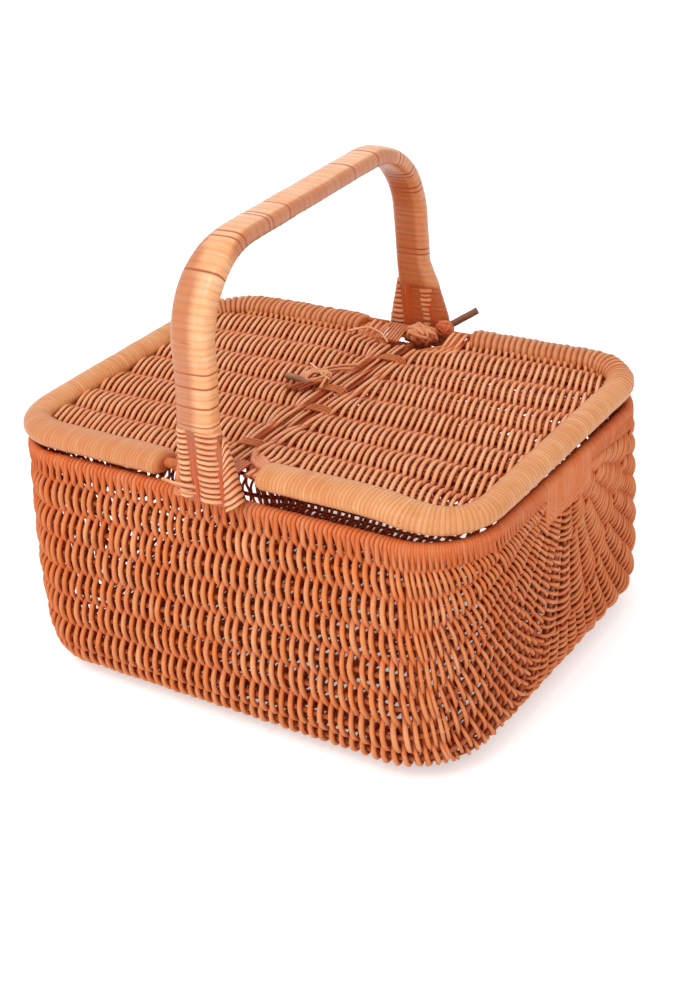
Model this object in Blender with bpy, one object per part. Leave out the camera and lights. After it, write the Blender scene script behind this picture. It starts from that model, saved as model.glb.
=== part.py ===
# Willow pie basket: a bulging rib-and-weave body, a fixed arched handle across the middle
# and two lid flaps that turn on one bar between the handle's feet.
# Metres, +Z up. X runs along the long walls and Y from the front wall to the back wall.
# The origin is on the table, under the middle of the body.
import math

import bpy
from mathutils import Vector

# Body sizes
rim_overhang = 0.007
rim_depth = 0.283
rim_height = 0.181
rim_corner = 0.054
belly_length = 0.386
belly_depth = 0.319
belly_corner = 0.058
bottom_bend = 0.030
weave_thickness = 0.006
weave_wave = 0.0013
weave_hollow = 0.0022
weave_flat_share = 1.85
rib_groove = 0.0013
rib_radius = 0.0026
rib_gap = 0.0008
rib_end_gap = 0.003
hoop_radius = 0.0055

# Where the body's ribs lie, as shares: 0 is the middle of the bottom, 1 its edge and 2 the rim
bottom_rib_shares = (1 / 6, 3 / 6, 5 / 6)
wall_rib_shares = (1.10, 1.26, 1.42, 1.58, 1.74, 1.90)
long_wall_weavers = 14
end_wall_weavers = 12
weaver_fan_share = 0.76
rib_fan_share = 0.62

# Gaps between pieces
seat_gap = 0.0003
bore_gap = 0.0006

# Handle sizes
handle_height = 0.350
handle_span = 0.282
handle_bend = 0.058
handle_rod_radius = 0.0037
handle_rod_count = 3
wrap_thickness = 0.0009
wrap_corner_share = 0.45
front_foot_x = -0.002
front_shoulder_x = 0.009
back_shoulder_x = -0.007
back_foot_x = -0.006

# Foot sizes
foot_depth_below_rim = 0.0055
lashing_start = 0.0028
lashing_radius = 0.0020
lashing_pitch = 0.0048
lashing_turns = 8
foot_rod_spread = 0.0127
stake_radius = 0.0034
stake_spread = 0.0255
stake_top_spread = 0.0157

# Lid sizes
border_width = 0.027
border_height = 0.017
frame_radius = 0.0036
bar_radius = 0.0045
front_notch = 0.043
back_notch = 0.047
panel_thickness = 0.0034
panel_wave = 0.0030
panel_hollow = 0.0014
panel_weavers = 20
hollow_from_hinge = 0.050
panel_rib_radius = 0.0025
panel_rib_count = 7
lid_bow = 0.008
lid_bow_run = 0.085
hinge_straight = 0.104
panel_cut_share = 1.4

# Tie sizes
tie_radius = 0.0012
tie_pitch = 0.0030
tie_turns = 3
left_tie_places = (-0.0815, 0.0170)
right_tie_places = (-0.0165, 0.0815)
butt_radius = 0.0034
butt_length = 0.034
butt_place = 0.004
twig_radius = 0.0014
twig_length = 0.034
twig_place = 0.027
twig_slant = 0.010
tip_place = 0.102
tip_slant = 0.004
stick_radius = 0.0027
stick_start = (0.031, 0.086)
stick_end = (0.0412, 0.150)
stick_dip = 0.0008
stick_rise = 0.004

# Sizes that follow from these
rim_length = belly_length + 2 * rim_overhang
half_length = rim_length / 2
half_depth = rim_depth / 2
wall_top = rim_height - 2 * hoop_radius - seat_gap
bend_arc = bottom_bend * math.pi / 2
bend_share = bend_arc / (bend_arc + wall_top - bottom_bend)
rib_inset = weave_thickness - rib_groove + rib_gap + rib_radius
hinge_height = rim_height + seat_gap + bar_radius
tie_path_radius = bar_radius + bore_gap + tie_radius
frame_x = tie_path_radius + tie_radius + bore_gap + frame_radius
panel_start = frame_x + tie_path_radius + tie_radius + bore_gap
panel_low = hinge_height + panel_rib_radius + seat_gap
border_middle = rim_height + seat_gap + border_height / 2
strap_y = handle_span / 2
strap_z = handle_height - handle_rod_radius - seat_gap - wrap_thickness
rod_step = 2 * handle_rod_radius + seat_gap
foot_bottom = rim_height - foot_depth_below_rim
foot_base_y = half_depth + seat_gap + handle_rod_radius
lashing_low = rim_height + lashing_start
lashing_high = lashing_low + lashing_pitch * lashing_turns
wrap_low = lashing_high + lashing_radius + 2 * seat_gap
lashing_half_depth = max(handle_rod_radius, stake_radius) + bore_gap + seat_gap + lashing_radius

for old in list(bpy.data.objects):
    bpy.data.objects.remove(old, do_unlink=True)


# Materials
def material(name, colour, roughness):
    made = bpy.data.materials.new(name)
    made.use_nodes = True
    shader = made.node_tree.nodes["Principled BSDF"]
    shader.inputs["Base Color"].default_value = (*colour, 1)
    shader.inputs["Roughness"].default_value = roughness
    shader.inputs["Metallic"].default_value = 0
    return made


woven_willow = material("woven_willow", (0.62, 0.27, 0.09), 0.50)
rib_willow = material("rib_willow", (0.42, 0.17, 0.06), 0.60)
lid_willow = material("lid_willow", (0.66, 0.32, 0.12), 0.50)
border_willow = material("border_willow", (0.75, 0.42, 0.19), 0.45)
handle_skein = material("handle_skein", (0.76, 0.38, 0.13), 0.30)
lashing_cane = material("lashing_cane", (0.70, 0.38, 0.16), 0.35)
bark_twig = material("bark_twig", (0.30, 0.18, 0.10), 0.70)


# Makers of solids
def place(name, data, finish, pivot):
    """Puts the data in the scene, hung on its pivot without moving it."""
    made = bpy.data.objects.new(name, data)
    made.data.materials.append(finish)
    bpy.context.scene.collection.objects.link(made)
    if pivot:
        made.parent = pivot
        made.matrix_parent_inverse = pivot.matrix_world.inverted()
    return made


def solid(name, points, faces, finish, pivot=None, smooth=True):
    """A closed mesh, its faces turned outwards."""
    mesh = bpy.data.meshes.new(name)
    mesh.from_pydata([tuple(point) for point in points], [], faces)
    mesh.update()
    if smooth:
        mesh.shade_smooth()
        mesh.set_sharp_from_angle(angle=math.radians(40))
    return place(name, mesh, finish, pivot)


def rod(name, points, radius, finish, pivot=None, closed=False, roundness=1):
    """A round rod along the points, with flat ends unless it closes on itself."""
    curve = bpy.data.curves.new(name, "CURVE")
    curve.dimensions = "3D"
    curve.bevel_depth = radius
    curve.bevel_resolution = roundness
    curve.use_fill_caps = True
    spline = curve.splines.new("POLY")
    spline.points.add(len(points) - 1)
    for made, point in zip(spline.points, points):
        made.co = (*point, 1)
    spline.use_cyclic_u = closed
    spline.use_smooth = True
    return place(name, curve, finish, pivot)


def tube_rings(rings_out, rings_in):
    """Points and faces of a thick tube, open at both ends, from matching outer and inner rings."""
    count = len(rings_out[0])
    points = [point for ring in rings_out + rings_in for point in ring]
    inner = len(rings_out) * count
    faces = []
    for row in range(len(rings_out) - 1):
        for spot in range(count):
            a, b = row * count + spot, row * count + (spot + 1) % count
            faces.append((a, b, b + count, a + count))
            faces.append((inner + b, inner + a, inner + a + count, inner + b + count))
    last = (len(rings_out) - 1) * count
    for spot in range(count):
        a, b = spot, (spot + 1) % count
        faces.append((b, a, inner + a, inner + b))
        faces.append((last + a, last + b, inner + last + b, inner + last + a))
    return points, faces


def sheet_solid(upper, lower):
    """Points and faces of a closed sheet from two matching grids, the upper one facing out."""
    rows, columns = len(upper), len(upper[0])
    points = [point for row in upper for point in row] + [point for row in lower for point in row]
    under = rows * columns
    faces = []
    for row in range(rows - 1):
        for column in range(columns - 1):
            a = row * columns + column
            faces.append((a, a + 1, a + columns + 1, a + columns))
            faces.append((under + a, under + a + columns, under + a + columns + 1, under + a + 1))
    edge = list(range(columns))
    edge += [row * columns + columns - 1 for row in range(1, rows)]
    edge += [(rows - 1) * columns + column for column in range(columns - 2, -1, -1)]
    edge += [row * columns for row in range(rows - 2, 0, -1)]
    for a, b in zip(edge, edge[1:] + edge[:1]):
        faces.append((b, a, under + a, under + b))
    return points, faces


def without_straight_points(points):
    """The points that bend the line; those on a straight stretch are left out."""
    kept = [points[0]]
    for point, after in zip(points[1:-1], points[2:]):
        bend = (point - kept[-1]).angle(after - point, 0)
        if bend > math.radians(0.8):
            kept.append(point)
    return kept + [points[-1]]


def smooth_step(share):
    share = min(max(share, 0), 1)
    return share * share * (3 - 2 * share)


def between(low, high, share):
    return low + (high - low) * share


# Body shape: every point is found from its weaver line u and its rib line v
def wall_section(height_share):
    """Half length, half depth, corner radius and height of the body's level outline."""
    if height_share < bend_share:
        turn = height_share / bend_share * math.pi / 2
        inset = bottom_bend * (1 - math.sin(turn))
        level = bottom_bend * (1 - math.cos(turn))
        return belly_length / 2 - inset, belly_depth / 2 - inset, belly_corner - inset, level
    down = (1 - height_share) / (1 - bend_share)
    length = between(half_length, belly_length / 2, down)
    depth = between(half_depth, belly_depth / 2, math.sin(down * math.pi / 2))
    return length, depth, between(rim_corner, belly_corner, down), between(wall_top, bottom_bend, down)


def side_point(along, half_run, half_out, corner):
    """A place on one side of a rounded rectangle; -1 and 1 are the middles of its corners."""
    straight = half_run - corner
    reach = abs(along) * (straight + corner * math.pi / 4)
    if reach <= straight:
        return math.copysign(reach, along), half_out
    turn = (reach - straight) / corner
    run = straight + corner * math.sin(turn)
    return math.copysign(run, along), half_out - corner * (1 - math.cos(turn))


def fan(line, height_share, fan_share):
    """How far along a wall a line stands at a height: lines draw together towards the rim."""
    size = abs(line)
    start = max(size - 1, 0)
    foot_place = min(size, 1)
    rim_place = fan_share * size if size <= 1 else between(fan_share, 1, start)
    if start < 1:
        rise = (height_share - start) / (1 - start)
    else:
        rise = 1
    return math.copysign(between(foot_place, rim_place, rise), line)


def body_point(u, v):
    """The body's outer surface where weaver line u crosses rib line v."""
    size = max(abs(u), abs(v))
    if size == 0:
        return Vector((0, 0, 0))
    on_long_wall = abs(v) >= abs(u)
    height_share = max(size - 1, 0)
    length, depth, corner, level = wall_section(height_share)
    shrink = min(size, 1)
    if on_long_wall:
        along = u / size if size <= 1 else fan(u, height_share, weaver_fan_share)
        x, y = side_point(along, length, depth, corner)
        return Vector((x * shrink, math.copysign(y, v) * shrink, level))
    along = v / size if size <= 1 else fan(v, height_share, rib_fan_share)
    y, x = side_point(along, depth, length, corner)
    return Vector((math.copysign(x, u) * shrink, y * shrink, level))


def body_normal(u, v):
    """The way out of the body at a crossing."""
    step_share = 0.02
    u_low, u_high = max(u - step_share, -2), min(u + step_share, 2)
    v_low, v_high = max(v - step_share, -2), min(v + step_share, 2)
    along_u = body_point(u_high, v) - body_point(u_low, v)
    along_v = body_point(u, v_high) - body_point(u, v_low)
    return along_v.cross(along_u).normalized()


def mirrored(shares):
    return sorted({-share for share in shares} | set(shares))


rib_lines = mirrored(bottom_rib_shares + wall_rib_shares)
weaver_lines = mirrored([line / long_wall_weavers for line in range(long_wall_weavers)])
weaver_lines = mirrored(weaver_lines + [1 + line / end_wall_weavers for line in range(end_wall_weavers + 1)])


def body_weave():
    """The woven wall as one shell: its strands pass over and under the ribs by turns, and it is
    grooved inside for each rib."""
    lines = [(-2, 0), (rib_lines[0], 1)]
    for number, (before, line) in enumerate(zip(rib_lines, rib_lines[1:])):
        lines += [((before + line) / 2, 0), (line, 1 if number % 2 else -1)]
    lines.append((2, 0))
    outer, inner = [], []
    for strand, u in enumerate(weaver_lines):
        outer_row, inner_row = [], []
        for v, rib_turn in lines:
            on_rib = rib_turn != 0
            point, way = body_point(u, v), body_normal(u, v)
            over = rib_turn * (1 if strand % 2 else -1) > 0
            wave = (weave_wave if over else -weave_hollow) if on_rib else 0
            size = max(abs(u), abs(v))
            if over and (size <= 1 or size > weave_flat_share):
                wave = 0
            wall = weave_thickness - (rib_groove if on_rib else 0)
            outside, inside = point + way * wave, point - way * wall
            if size == 2:
                outside, inside = point, point - way * wall
                inside.z = wall_top
            outer_row.append(outside)
            inner_row.append(inside)
        outer.append(outer_row)
        inner.append(inner_row)
    points, faces = sheet_solid(outer, inner)
    solid("body_weave", points, faces, woven_willow)


def body_ribs():
    """The ribs that the weavers go round, each from one end of the rim to the other."""
    names = {}
    for number, share in enumerate(wall_rib_shares, 1):
        names[-share] = f"front_wall_rib_{number}"
        names[share] = f"back_wall_rib_{number}"
    for number, line in enumerate(mirrored(bottom_rib_shares), 1):
        names[line] = f"bottom_rib_{number}"
    for v, name in names.items():
        path = [body_point(u, v) - body_normal(u, v) * rib_inset for u in weaver_lines]
        for end, before in ((0, 1), (-1, -2)):
            path[end] += (path[before] - path[end]).normalized() * rib_end_gap
        rod(name, without_straight_points(path), rib_radius, rib_willow)


def corner_arc(x, y, radius, start, steps):
    """Points round a corner whose centre is at x, y, from one angle through a quarter turn."""
    quarter = math.pi / 2
    for step in range(steps + 1):
        turn = start + quarter * step / steps
        yield x + radius * math.cos(turn), y + radius * math.sin(turn)


def rim_hoop():
    """The round hoop on top of the woven wall."""
    radius = rim_corner - hoop_radius
    x, y = half_length - rim_corner, half_depth - rim_corner
    level = rim_height - hoop_radius
    path = []
    for sign_x, sign_y, start in ((1, 1, 0), (-1, 1, 1), (-1, -1, 2), (1, -1, 3)):
        arc = corner_arc(sign_x * x, sign_y * y, radius, start * math.pi / 2, 5)
        path += [Vector((px, py, level)) for px, py in arc]
    rod("rim_hoop", path, hoop_radius, woven_willow, closed=True, roundness=2)


# Lid
def lid_lift(side, x, y):
    """How far the right flap's front edge bows up from the rim."""
    if side < 0:
        return 0
    away = half_length - border_width / 2 - abs(x)
    along = math.sin(smooth_step(away / lid_bow_run) * math.pi / 2)
    return lid_bow * along * smooth_step(-y / (half_depth - border_width / 2))


def border_path(side):
    """The middle of a flap's border, from its front end round the short side to its back end."""
    inset = border_width / 2
    radius = rim_corner - inset
    x, y = half_length - rim_corner, half_depth - rim_corner
    run = half_depth - inset
    spots = [(front_notch, -run)]
    spots += [(between(front_notch, x, share / 4), -run) for share in range(1, 4)]
    spots += list(corner_arc(x, -y, radius, -math.pi / 2, 4))
    spots += list(corner_arc(x, y, radius, 0, 4))
    spots += [(back_notch, run)]
    return [Vector((side * px, py, border_middle + lid_lift(side, px, py))) for px, py in spots]


def ring_at(centre, across, up, half_width, half_height, sides):
    """An oval ring of points round a centre."""
    ring = []
    for spot in range(sides):
        turn = 2 * math.pi * spot / sides
        ring.append(centre + across * half_width * math.cos(turn) + up * half_height * math.sin(turn))
    return ring


def flap_border(name, side, pivot):
    """The thick wound roll round three sides of a flap, hollow for the flap's frame."""
    path = border_path(side)
    bore = (frame_radius + seat_gap) / math.cos(math.pi / 8)
    outer, inner = [], []
    for number, centre in enumerate(path):
        before, after = path[max(number - 1, 0)], path[min(number + 1, len(path) - 1)]
        way = (after - before) * Vector((1, 1, 0))
        across = way.cross(Vector((0, 0, side))).normalized()
        up = Vector((0, 0, 1))
        outer.append(ring_at(centre, across, up, border_width / 2, border_height / 2, 8))
        inner.append(ring_at(centre, across, up, bore, bore, 8))
    if side > 0:
        outer, inner = outer[::-1], inner[::-1]
    points, faces = tube_rings(outer, inner)
    solid(name, points, faces, border_willow, pivot)


def flap_frame(name, side, pivot):
    """The hoop that a flap is built on: inside the border on three sides, bare along the hinge."""
    level = Vector((0, 0, hinge_height))
    path = border_path(side)
    run_out = Vector((side * frame_radius, 0, 0))
    path = [path[0] - run_out] + path + [path[-1] - run_out]
    path.append(Vector((side * frame_x, hinge_straight, 0)) + level)
    path.append(Vector((side * frame_x, -hinge_straight, 0)) + level)
    rod(name, path, frame_radius, border_willow, pivot, closed=True, roundness=2)


def panel_end(y):
    """Where the woven panel stops at the border, which rounds its outer corners."""
    edge = half_length - border_width - seat_gap
    radius = rim_corner - border_width
    side = half_depth - border_width - seat_gap
    past = max(abs(y) - (side - radius), 0)
    return edge - radius + math.sqrt(max(radius * radius - past * past, 0))


def panel_begin(y):
    """Where the panel starts beside the hinge, cut back near the frame's slanting ends."""
    return panel_start + max(abs(y) - hinge_straight, 0) * panel_cut_share


def panel_lines():
    """The panel's rib places across Y, and its lines on and between them."""
    side = half_depth - border_width - seat_gap
    step = 2 * side / panel_rib_count
    ribs = [step * (number + 0.5) - side for number in range(panel_rib_count)]
    lines = [(-side, 0)]
    for rib in ribs:
        lines += [(rib, 1), (rib + step / 2, 0)]
    return ribs, lines


def panel_top(y):
    """The height of a flat flap's upper face between and on its ribs."""
    lines = panel_lines()[1]
    for (y_low, crest_low), (y_high, crest_high) in zip(lines, lines[1:]):
        if y <= y_high:
            break
    crest = between(crest_low, crest_high, (y - y_low) / (y_high - y_low))
    return panel_low + panel_thickness - panel_wave * (1 - crest)


def flap_panel(name, side, pivot):
    """The woven sheet of a flap: it arches over each rib and its strands pass over and under by
    turns, but near the hinge, where the ties' ends lie, it keeps its full height."""
    upper, lower = [], []
    for line, (y, crest) in enumerate(panel_lines()[1]):
        low = panel_low - panel_wave * (1 - crest)
        start, end = panel_begin(y), panel_end(y)
        upper_row, lower_row = [], []
        for strand in range(panel_weavers + 1):
            x = between(start, end, strand / panel_weavers)
            level = low + lid_lift(side, x, y)
            under = crest and (strand + line // 2) % 2 and x > hollow_from_hinge
            lower_row.append(Vector((side * x, y, level)))
            top = panel_thickness - (panel_hollow if under else 0)
            upper_row.append(Vector((side * x, y, level + top)))
        upper.append(upper_row)
        lower.append(lower_row)
    if side < 0:
        upper, lower = [row[::-1] for row in upper], [row[::-1] for row in lower]
    points, faces = sheet_solid(upper, lower)
    solid(name, points, faces, lid_willow, pivot)


def flap_ribs(word, side, pivot):
    """The straight ribs under a flap's weave, from its hinge side to its border."""
    start = frame_x + frame_radius + seat_gap
    for number, y in enumerate(panel_lines()[0], 1):
        end = panel_end(y)
        path = []
        for share in (0, 0.2, 1 / 3, 2 / 3, 1):
            x = between(start, end, share)
            path.append(Vector((side * x, y, hinge_height - bore_gap + lid_lift(side, x, y))))
        rod(f"{word}_lid_rib_{number}", path, panel_rib_radius, rib_willow, pivot)


# Windings
def oval_turn(half_straight, radius, turn_share):
    """A place on an oval of two half circles, by the share of one turn."""
    count = 5
    spot = int(round(turn_share * 2 * count)) % (2 * count)
    side = 1 if spot < count else -1
    angle = -math.pi / 2 + math.pi * (spot % count) / (count - 1)
    return side * (half_straight + radius * math.cos(angle)), side * radius * math.sin(angle)


def least_gap(name, points, radius, loop_points):
    """Prints the winding's least gap to itself, measured between loops."""
    fine = []
    for a, b in zip(points, points[1:]):
        fine += [a.lerp(b, step / 4) for step in range(4)]
    least = min(
        (fine[one] - fine[two]).length
        for one in range(0, len(fine), 2)
        for two in range(one + 2 * loop_points, len(fine))
    )
    print(f"{name}: least gap between loops {1000 * (least - 2 * radius):.2f} mm")


def tie(name, side, middle, pivot):
    """A cane tie that holds a flap's frame to the bar and turns round the bar with it."""
    loop_points = 10
    path = []
    for step in range(tie_turns * loop_points + 1):
        x, z = oval_turn(frame_x / 2, tie_path_radius, step / loop_points % 1)
        y = middle + tie_pitch * (step / loop_points - tie_turns / 2)
        path.append(Vector((side * (frame_x / 2 + x), y, hinge_height + z)))
    rod(name, path, tie_radius, lashing_cane, pivot)
    least_gap(name, path, tie_radius, loop_points)


# Handle
def handle_x(y, z):
    """The strap isn't quite in line with the body: its middle shifts along X."""
    shoulder, foot = (front_shoulder_x, front_foot_x) if y < 0 else (back_shoulder_x, back_foot_x)
    top = between(front_shoulder_x, back_shoulder_x, 0.5 + y / handle_span)
    rise = (z - foot_bottom) / (strap_z - foot_bottom)
    return between(between(foot, shoulder, smooth_step(rise)), top, smooth_step(rise))


def strap_path():
    """The strap's middle line in Y and Z, from the front lashing over the top to the back one."""
    low, flat = wrap_low, strap_y - handle_bend
    spots = [(-strap_y, low), (-strap_y, between(low, strap_z - handle_bend, 0.5))]
    arc = list(corner_arc(-flat, strap_z - handle_bend, handle_bend, math.pi / 2, 5))
    spots += arc[::-1]
    spots += [(0, strap_z)]
    return spots + [(-y, z) for y, z in spots[-2::-1]]


def foot_spot(x_low, x_high, end_y, z):
    """A place on a foot rod at a height: the foot widens and steps out over the rim."""
    rise = (z - foot_bottom) / (wrap_low - foot_bottom)
    y = between(foot_base_y, strap_y, smooth_step(rise))
    x = between(x_low, x_high, rise)
    middle = handle_x(math.copysign(strap_y, end_y), z)
    return Vector((middle + x, math.copysign(y, end_y), z))


def handle_rods():
    """The rods of the handle, side by side in the strap and spread at the feet."""
    levels = [foot_bottom, lashing_low, between(lashing_low, lashing_high, 0.5), lashing_high]
    for number in range(handle_rod_count):
        place_share = number - (handle_rod_count - 1) / 2
        low, high = place_share * foot_rod_spread, place_share * rod_step
        front = [foot_spot(low, high, -1, z) for z in levels]
        back = [foot_spot(low, high, 1, z) for z in reversed(levels)]
        strap = [Vector((handle_x(y, z) + high, y, z)) for y, z in strap_path()]
        rod(f"handle_rod_{number + 1}", front + strap + back, handle_rod_radius, handle_skein)


def handle_wrap():
    """The skein wound over the handle's rods, as one flat sleeve from foot to foot."""
    hollow_width = handle_rod_count * rod_step / 2 + seat_gap
    hollow_depth = handle_rod_radius + seat_gap
    spots = strap_path()
    ring_shares = [(1, tall) for tall in (-1, -0.5, 0.5, 1)] + [(-1, tall) for tall in (1, 0.5, -0.5, -1)]
    outer, inner = [], []
    for number, (y, z) in enumerate(spots):
        before, after = spots[max(number - 1, 0)], spots[min(number + 1, len(spots) - 1)]
        way = Vector((0, after[0] - before[0], after[1] - before[1])).normalized()
        across = Vector((1, 0, 0))
        up = way.cross(across)
        centre = Vector((handle_x(y, z), y, z))
        for rings, width, depth in (
            (inner, hollow_width, hollow_depth),
            (outer, hollow_width + wrap_thickness, hollow_depth + wrap_thickness),
        ):
            ring = []
            for side, tall in ring_shares:
                reach = width - depth * wrap_corner_share if abs(tall) == 1 else width
                ring.append(centre + across * side * reach + up * tall * depth)
            rings.append(ring)
    points, faces = tube_rings(outer, inner)
    solid("handle_wrap", points, faces, handle_skein)


def foot(word, end_y):
    """Two side stakes and the lashing round a foot of the handle."""
    top = lashing_high
    levels = [foot_bottom, lashing_low, between(lashing_low, top, 0.5), top]
    for side, hand in ((-1, "left"), (1, "right")):
        path = [foot_spot(side * stake_spread, side * stake_top_spread, end_y, z) for z in levels]
        rod(f"{word}_{hand}_stake", path, stake_radius, rib_willow)
    loop_points = 10
    path = []
    for step in range(lashing_turns * loop_points + 1):
        z = lashing_low + lashing_pitch * step / loop_points
        centre = foot_spot(0, 0, end_y, z)
        rise = (z - foot_bottom) / (wrap_low - foot_bottom)
        half_straight = between(stake_spread, stake_top_spread, rise) + seat_gap
        x, y = oval_turn(half_straight, lashing_half_depth, step / loop_points % 1)
        path.append(centre + Vector((x, y * end_y, 0)))
    rod(f"{word}_lashing", path, lashing_radius, lashing_cane)
    least_gap(f"{word}_lashing", path, lashing_radius, loop_points)


# Loose ends of the ties, which lie on the flaps
def tie_ends(left, right):
    tip = -frame_x + frame_radius
    level = panel_top(butt_place) + 2 * seat_gap + butt_radius
    path = [Vector((tip - butt_length, butt_place, level)), Vector((tip, butt_place, level))]
    rod("middle_tie_butt", path, butt_radius, bark_twig, left)
    over_tie = hinge_height + tie_path_radius + tie_radius + seat_gap + twig_radius
    for name, y, slant in (("middle_tie_twig", twig_place, twig_slant), ("back_tie_twig", tip_place, tip_slant)):
        level = panel_top(y) + seat_gap + twig_radius
        path = [Vector((tip - twig_length, y, level)), Vector((tip, y - slant, over_tie))]
        rod(name, path, twig_radius, lashing_cane, left)
    level = panel_low + panel_thickness + seat_gap + stick_radius
    path = [Vector((*stick_start, level - stick_dip)), Vector((*stick_end, level + stick_rise))]
    rod("back_tie_stick", path, stick_radius, bark_twig, right)


def pivot_on_bar(name):
    """The empty that a flap hangs on, on the bar's middle line."""
    made = bpy.data.objects.new(name, None)
    made.location = (0, 0, hinge_height)
    bpy.context.scene.collection.objects.link(made)
    bpy.context.view_layer.update()
    return made


def centre_bar():
    end = half_depth - hoop_radius
    rod(
        "centre_bar",
        [Vector((0, -end, hinge_height)), Vector((0, end, hinge_height))],
        bar_radius,
        border_willow,
        roundness=2,
    )


def flap(word, side, places):
    """One lid flap with all that turns with it."""
    pivot = pivot_on_bar(f"{word}_flap_pivot")
    flap_frame(f"{word}_flap_frame", side, pivot)
    flap_border(f"{word}_flap_border", side, pivot)
    flap_panel(f"{word}_flap_panel", side, pivot)
    flap_ribs(word, side, pivot)
    for number, middle in enumerate(places, 1):
        tie(f"{word}_tie_{number}", side, middle, pivot)
    return pivot


body_weave()
body_ribs()
rim_hoop()
centre_bar()
handle_rods()
handle_wrap()
foot("front", -1)
foot("back", 1)
left_pivot = flap("left", -1, left_tie_places)
right_pivot = flap("right", 1, right_tie_places)
tie_ends(left_pivot, right_pivot)
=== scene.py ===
# Willow pie basket: woven body, wound rim and borders, two woven lid flaps and a wrapped handle.
# Metres, +Z up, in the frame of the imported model. X runs along the long walls, -Y is the front.
import math

import bpy
import numpy as np
from mathutils import Matrix, Vector


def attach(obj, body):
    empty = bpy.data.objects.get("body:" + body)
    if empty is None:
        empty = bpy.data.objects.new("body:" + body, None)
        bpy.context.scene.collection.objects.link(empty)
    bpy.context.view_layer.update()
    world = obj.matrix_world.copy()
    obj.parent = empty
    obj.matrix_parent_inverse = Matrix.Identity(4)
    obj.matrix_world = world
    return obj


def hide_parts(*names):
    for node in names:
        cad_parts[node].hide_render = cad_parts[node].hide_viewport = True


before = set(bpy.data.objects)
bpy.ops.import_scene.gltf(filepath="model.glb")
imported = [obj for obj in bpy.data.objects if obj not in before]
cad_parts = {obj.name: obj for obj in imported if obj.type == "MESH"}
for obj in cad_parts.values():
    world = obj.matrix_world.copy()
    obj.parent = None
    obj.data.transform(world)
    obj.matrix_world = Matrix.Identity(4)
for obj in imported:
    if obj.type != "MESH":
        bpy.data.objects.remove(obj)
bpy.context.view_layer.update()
print("stage: frame loaded")

# Body sizes, the same as in the solids
body = dict(
    halfLength=0.200, halfDepth=0.1415, rimCorner=0.054, wallTop=0.1697,
    bellyLength=0.193, bellyDepth=0.1595, bellyCorner=0.058, bend=0.030, bendShare=0.252,
    frontRun=0.1884, endRun=0.1299,
)
endMiddle = body["frontRun"] + body["endRun"]


# Small helpers
def mix(low, high, share):
    return low + (high - low) * share


def smoothStep(share):
    share = np.clip(share, 0, 1)
    return share * share * (3 - 2 * share)


def rising(value, start, run):
    # From 0 at the start to 1 after the run
    return smoothStep((value - start) / run)


def unit(vectors):
    return vectors / np.maximum(np.linalg.norm(vectors, axis=-1, keepdims=True), 1e-12)


def columns(*parts):
    return np.stack(np.broadcast_arrays(*parts), -1)


def parity(number):
    return 1 if number % 2 == 0 else -1


def lengthsAlong(points):
    steps = np.linalg.norm(np.diff(points, axis=0), axis=1)
    return np.concatenate([[0], np.cumsum(steps)])


def resample(points, places):
    along = lengthsAlong(points)
    return columns(*[np.interp(places, along, values) for values in points.T])


def evenly(points, count):
    return resample(points, np.linspace(0, lengthsAlong(points)[-1], count))


def softened(points, reach):
    # A moving average along an evenly spaced line; its ends stay
    if reach < 1:
        return points
    padded = np.concatenate([np.repeat(points[:1], reach, 0), points, np.repeat(points[-1:], reach, 0)])
    weights = np.hanning(2 * reach + 3)[1:-1]
    weights /= weights.sum()
    out = columns(*[np.convolve(values, weights, "valid") for values in padded.T])
    out[0], out[-1] = points[0], points[-1]
    return out


def reader(places, values):
    return lambda spots: np.interp(spots, places, values)


def tangents(points):
    return unit(np.gradient(points, axis=0))


def placed(name, data):
    made = bpy.data.objects.new(name, data)
    bpy.context.scene.collection.objects.link(made)
    return made


# Node graphs: one wrapper for a socket, one maker for a node
class Wire:
    def __init__(self, graph, socket):
        self.graph, self.socket = graph, socket

    def maths(self, operation, other=0.0, swapped=False):
        pair = (other, self) if swapped else (self, other)
        return self.graph.add("ShaderNodeMath", {0: pair[0], 1: pair[1]}, operation=operation)

    def __add__(self, other): return self.maths("ADD", other)
    def __radd__(self, other): return self.maths("ADD", other, True)
    def __sub__(self, other): return self.maths("SUBTRACT", other)
    def __rsub__(self, other): return self.maths("SUBTRACT", other, True)
    def __mul__(self, other): return self.maths("MULTIPLY", other)
    def __rmul__(self, other): return self.maths("MULTIPLY", other, True)
    def __pow__(self, other): return self.maths("POWER", other)


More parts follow.
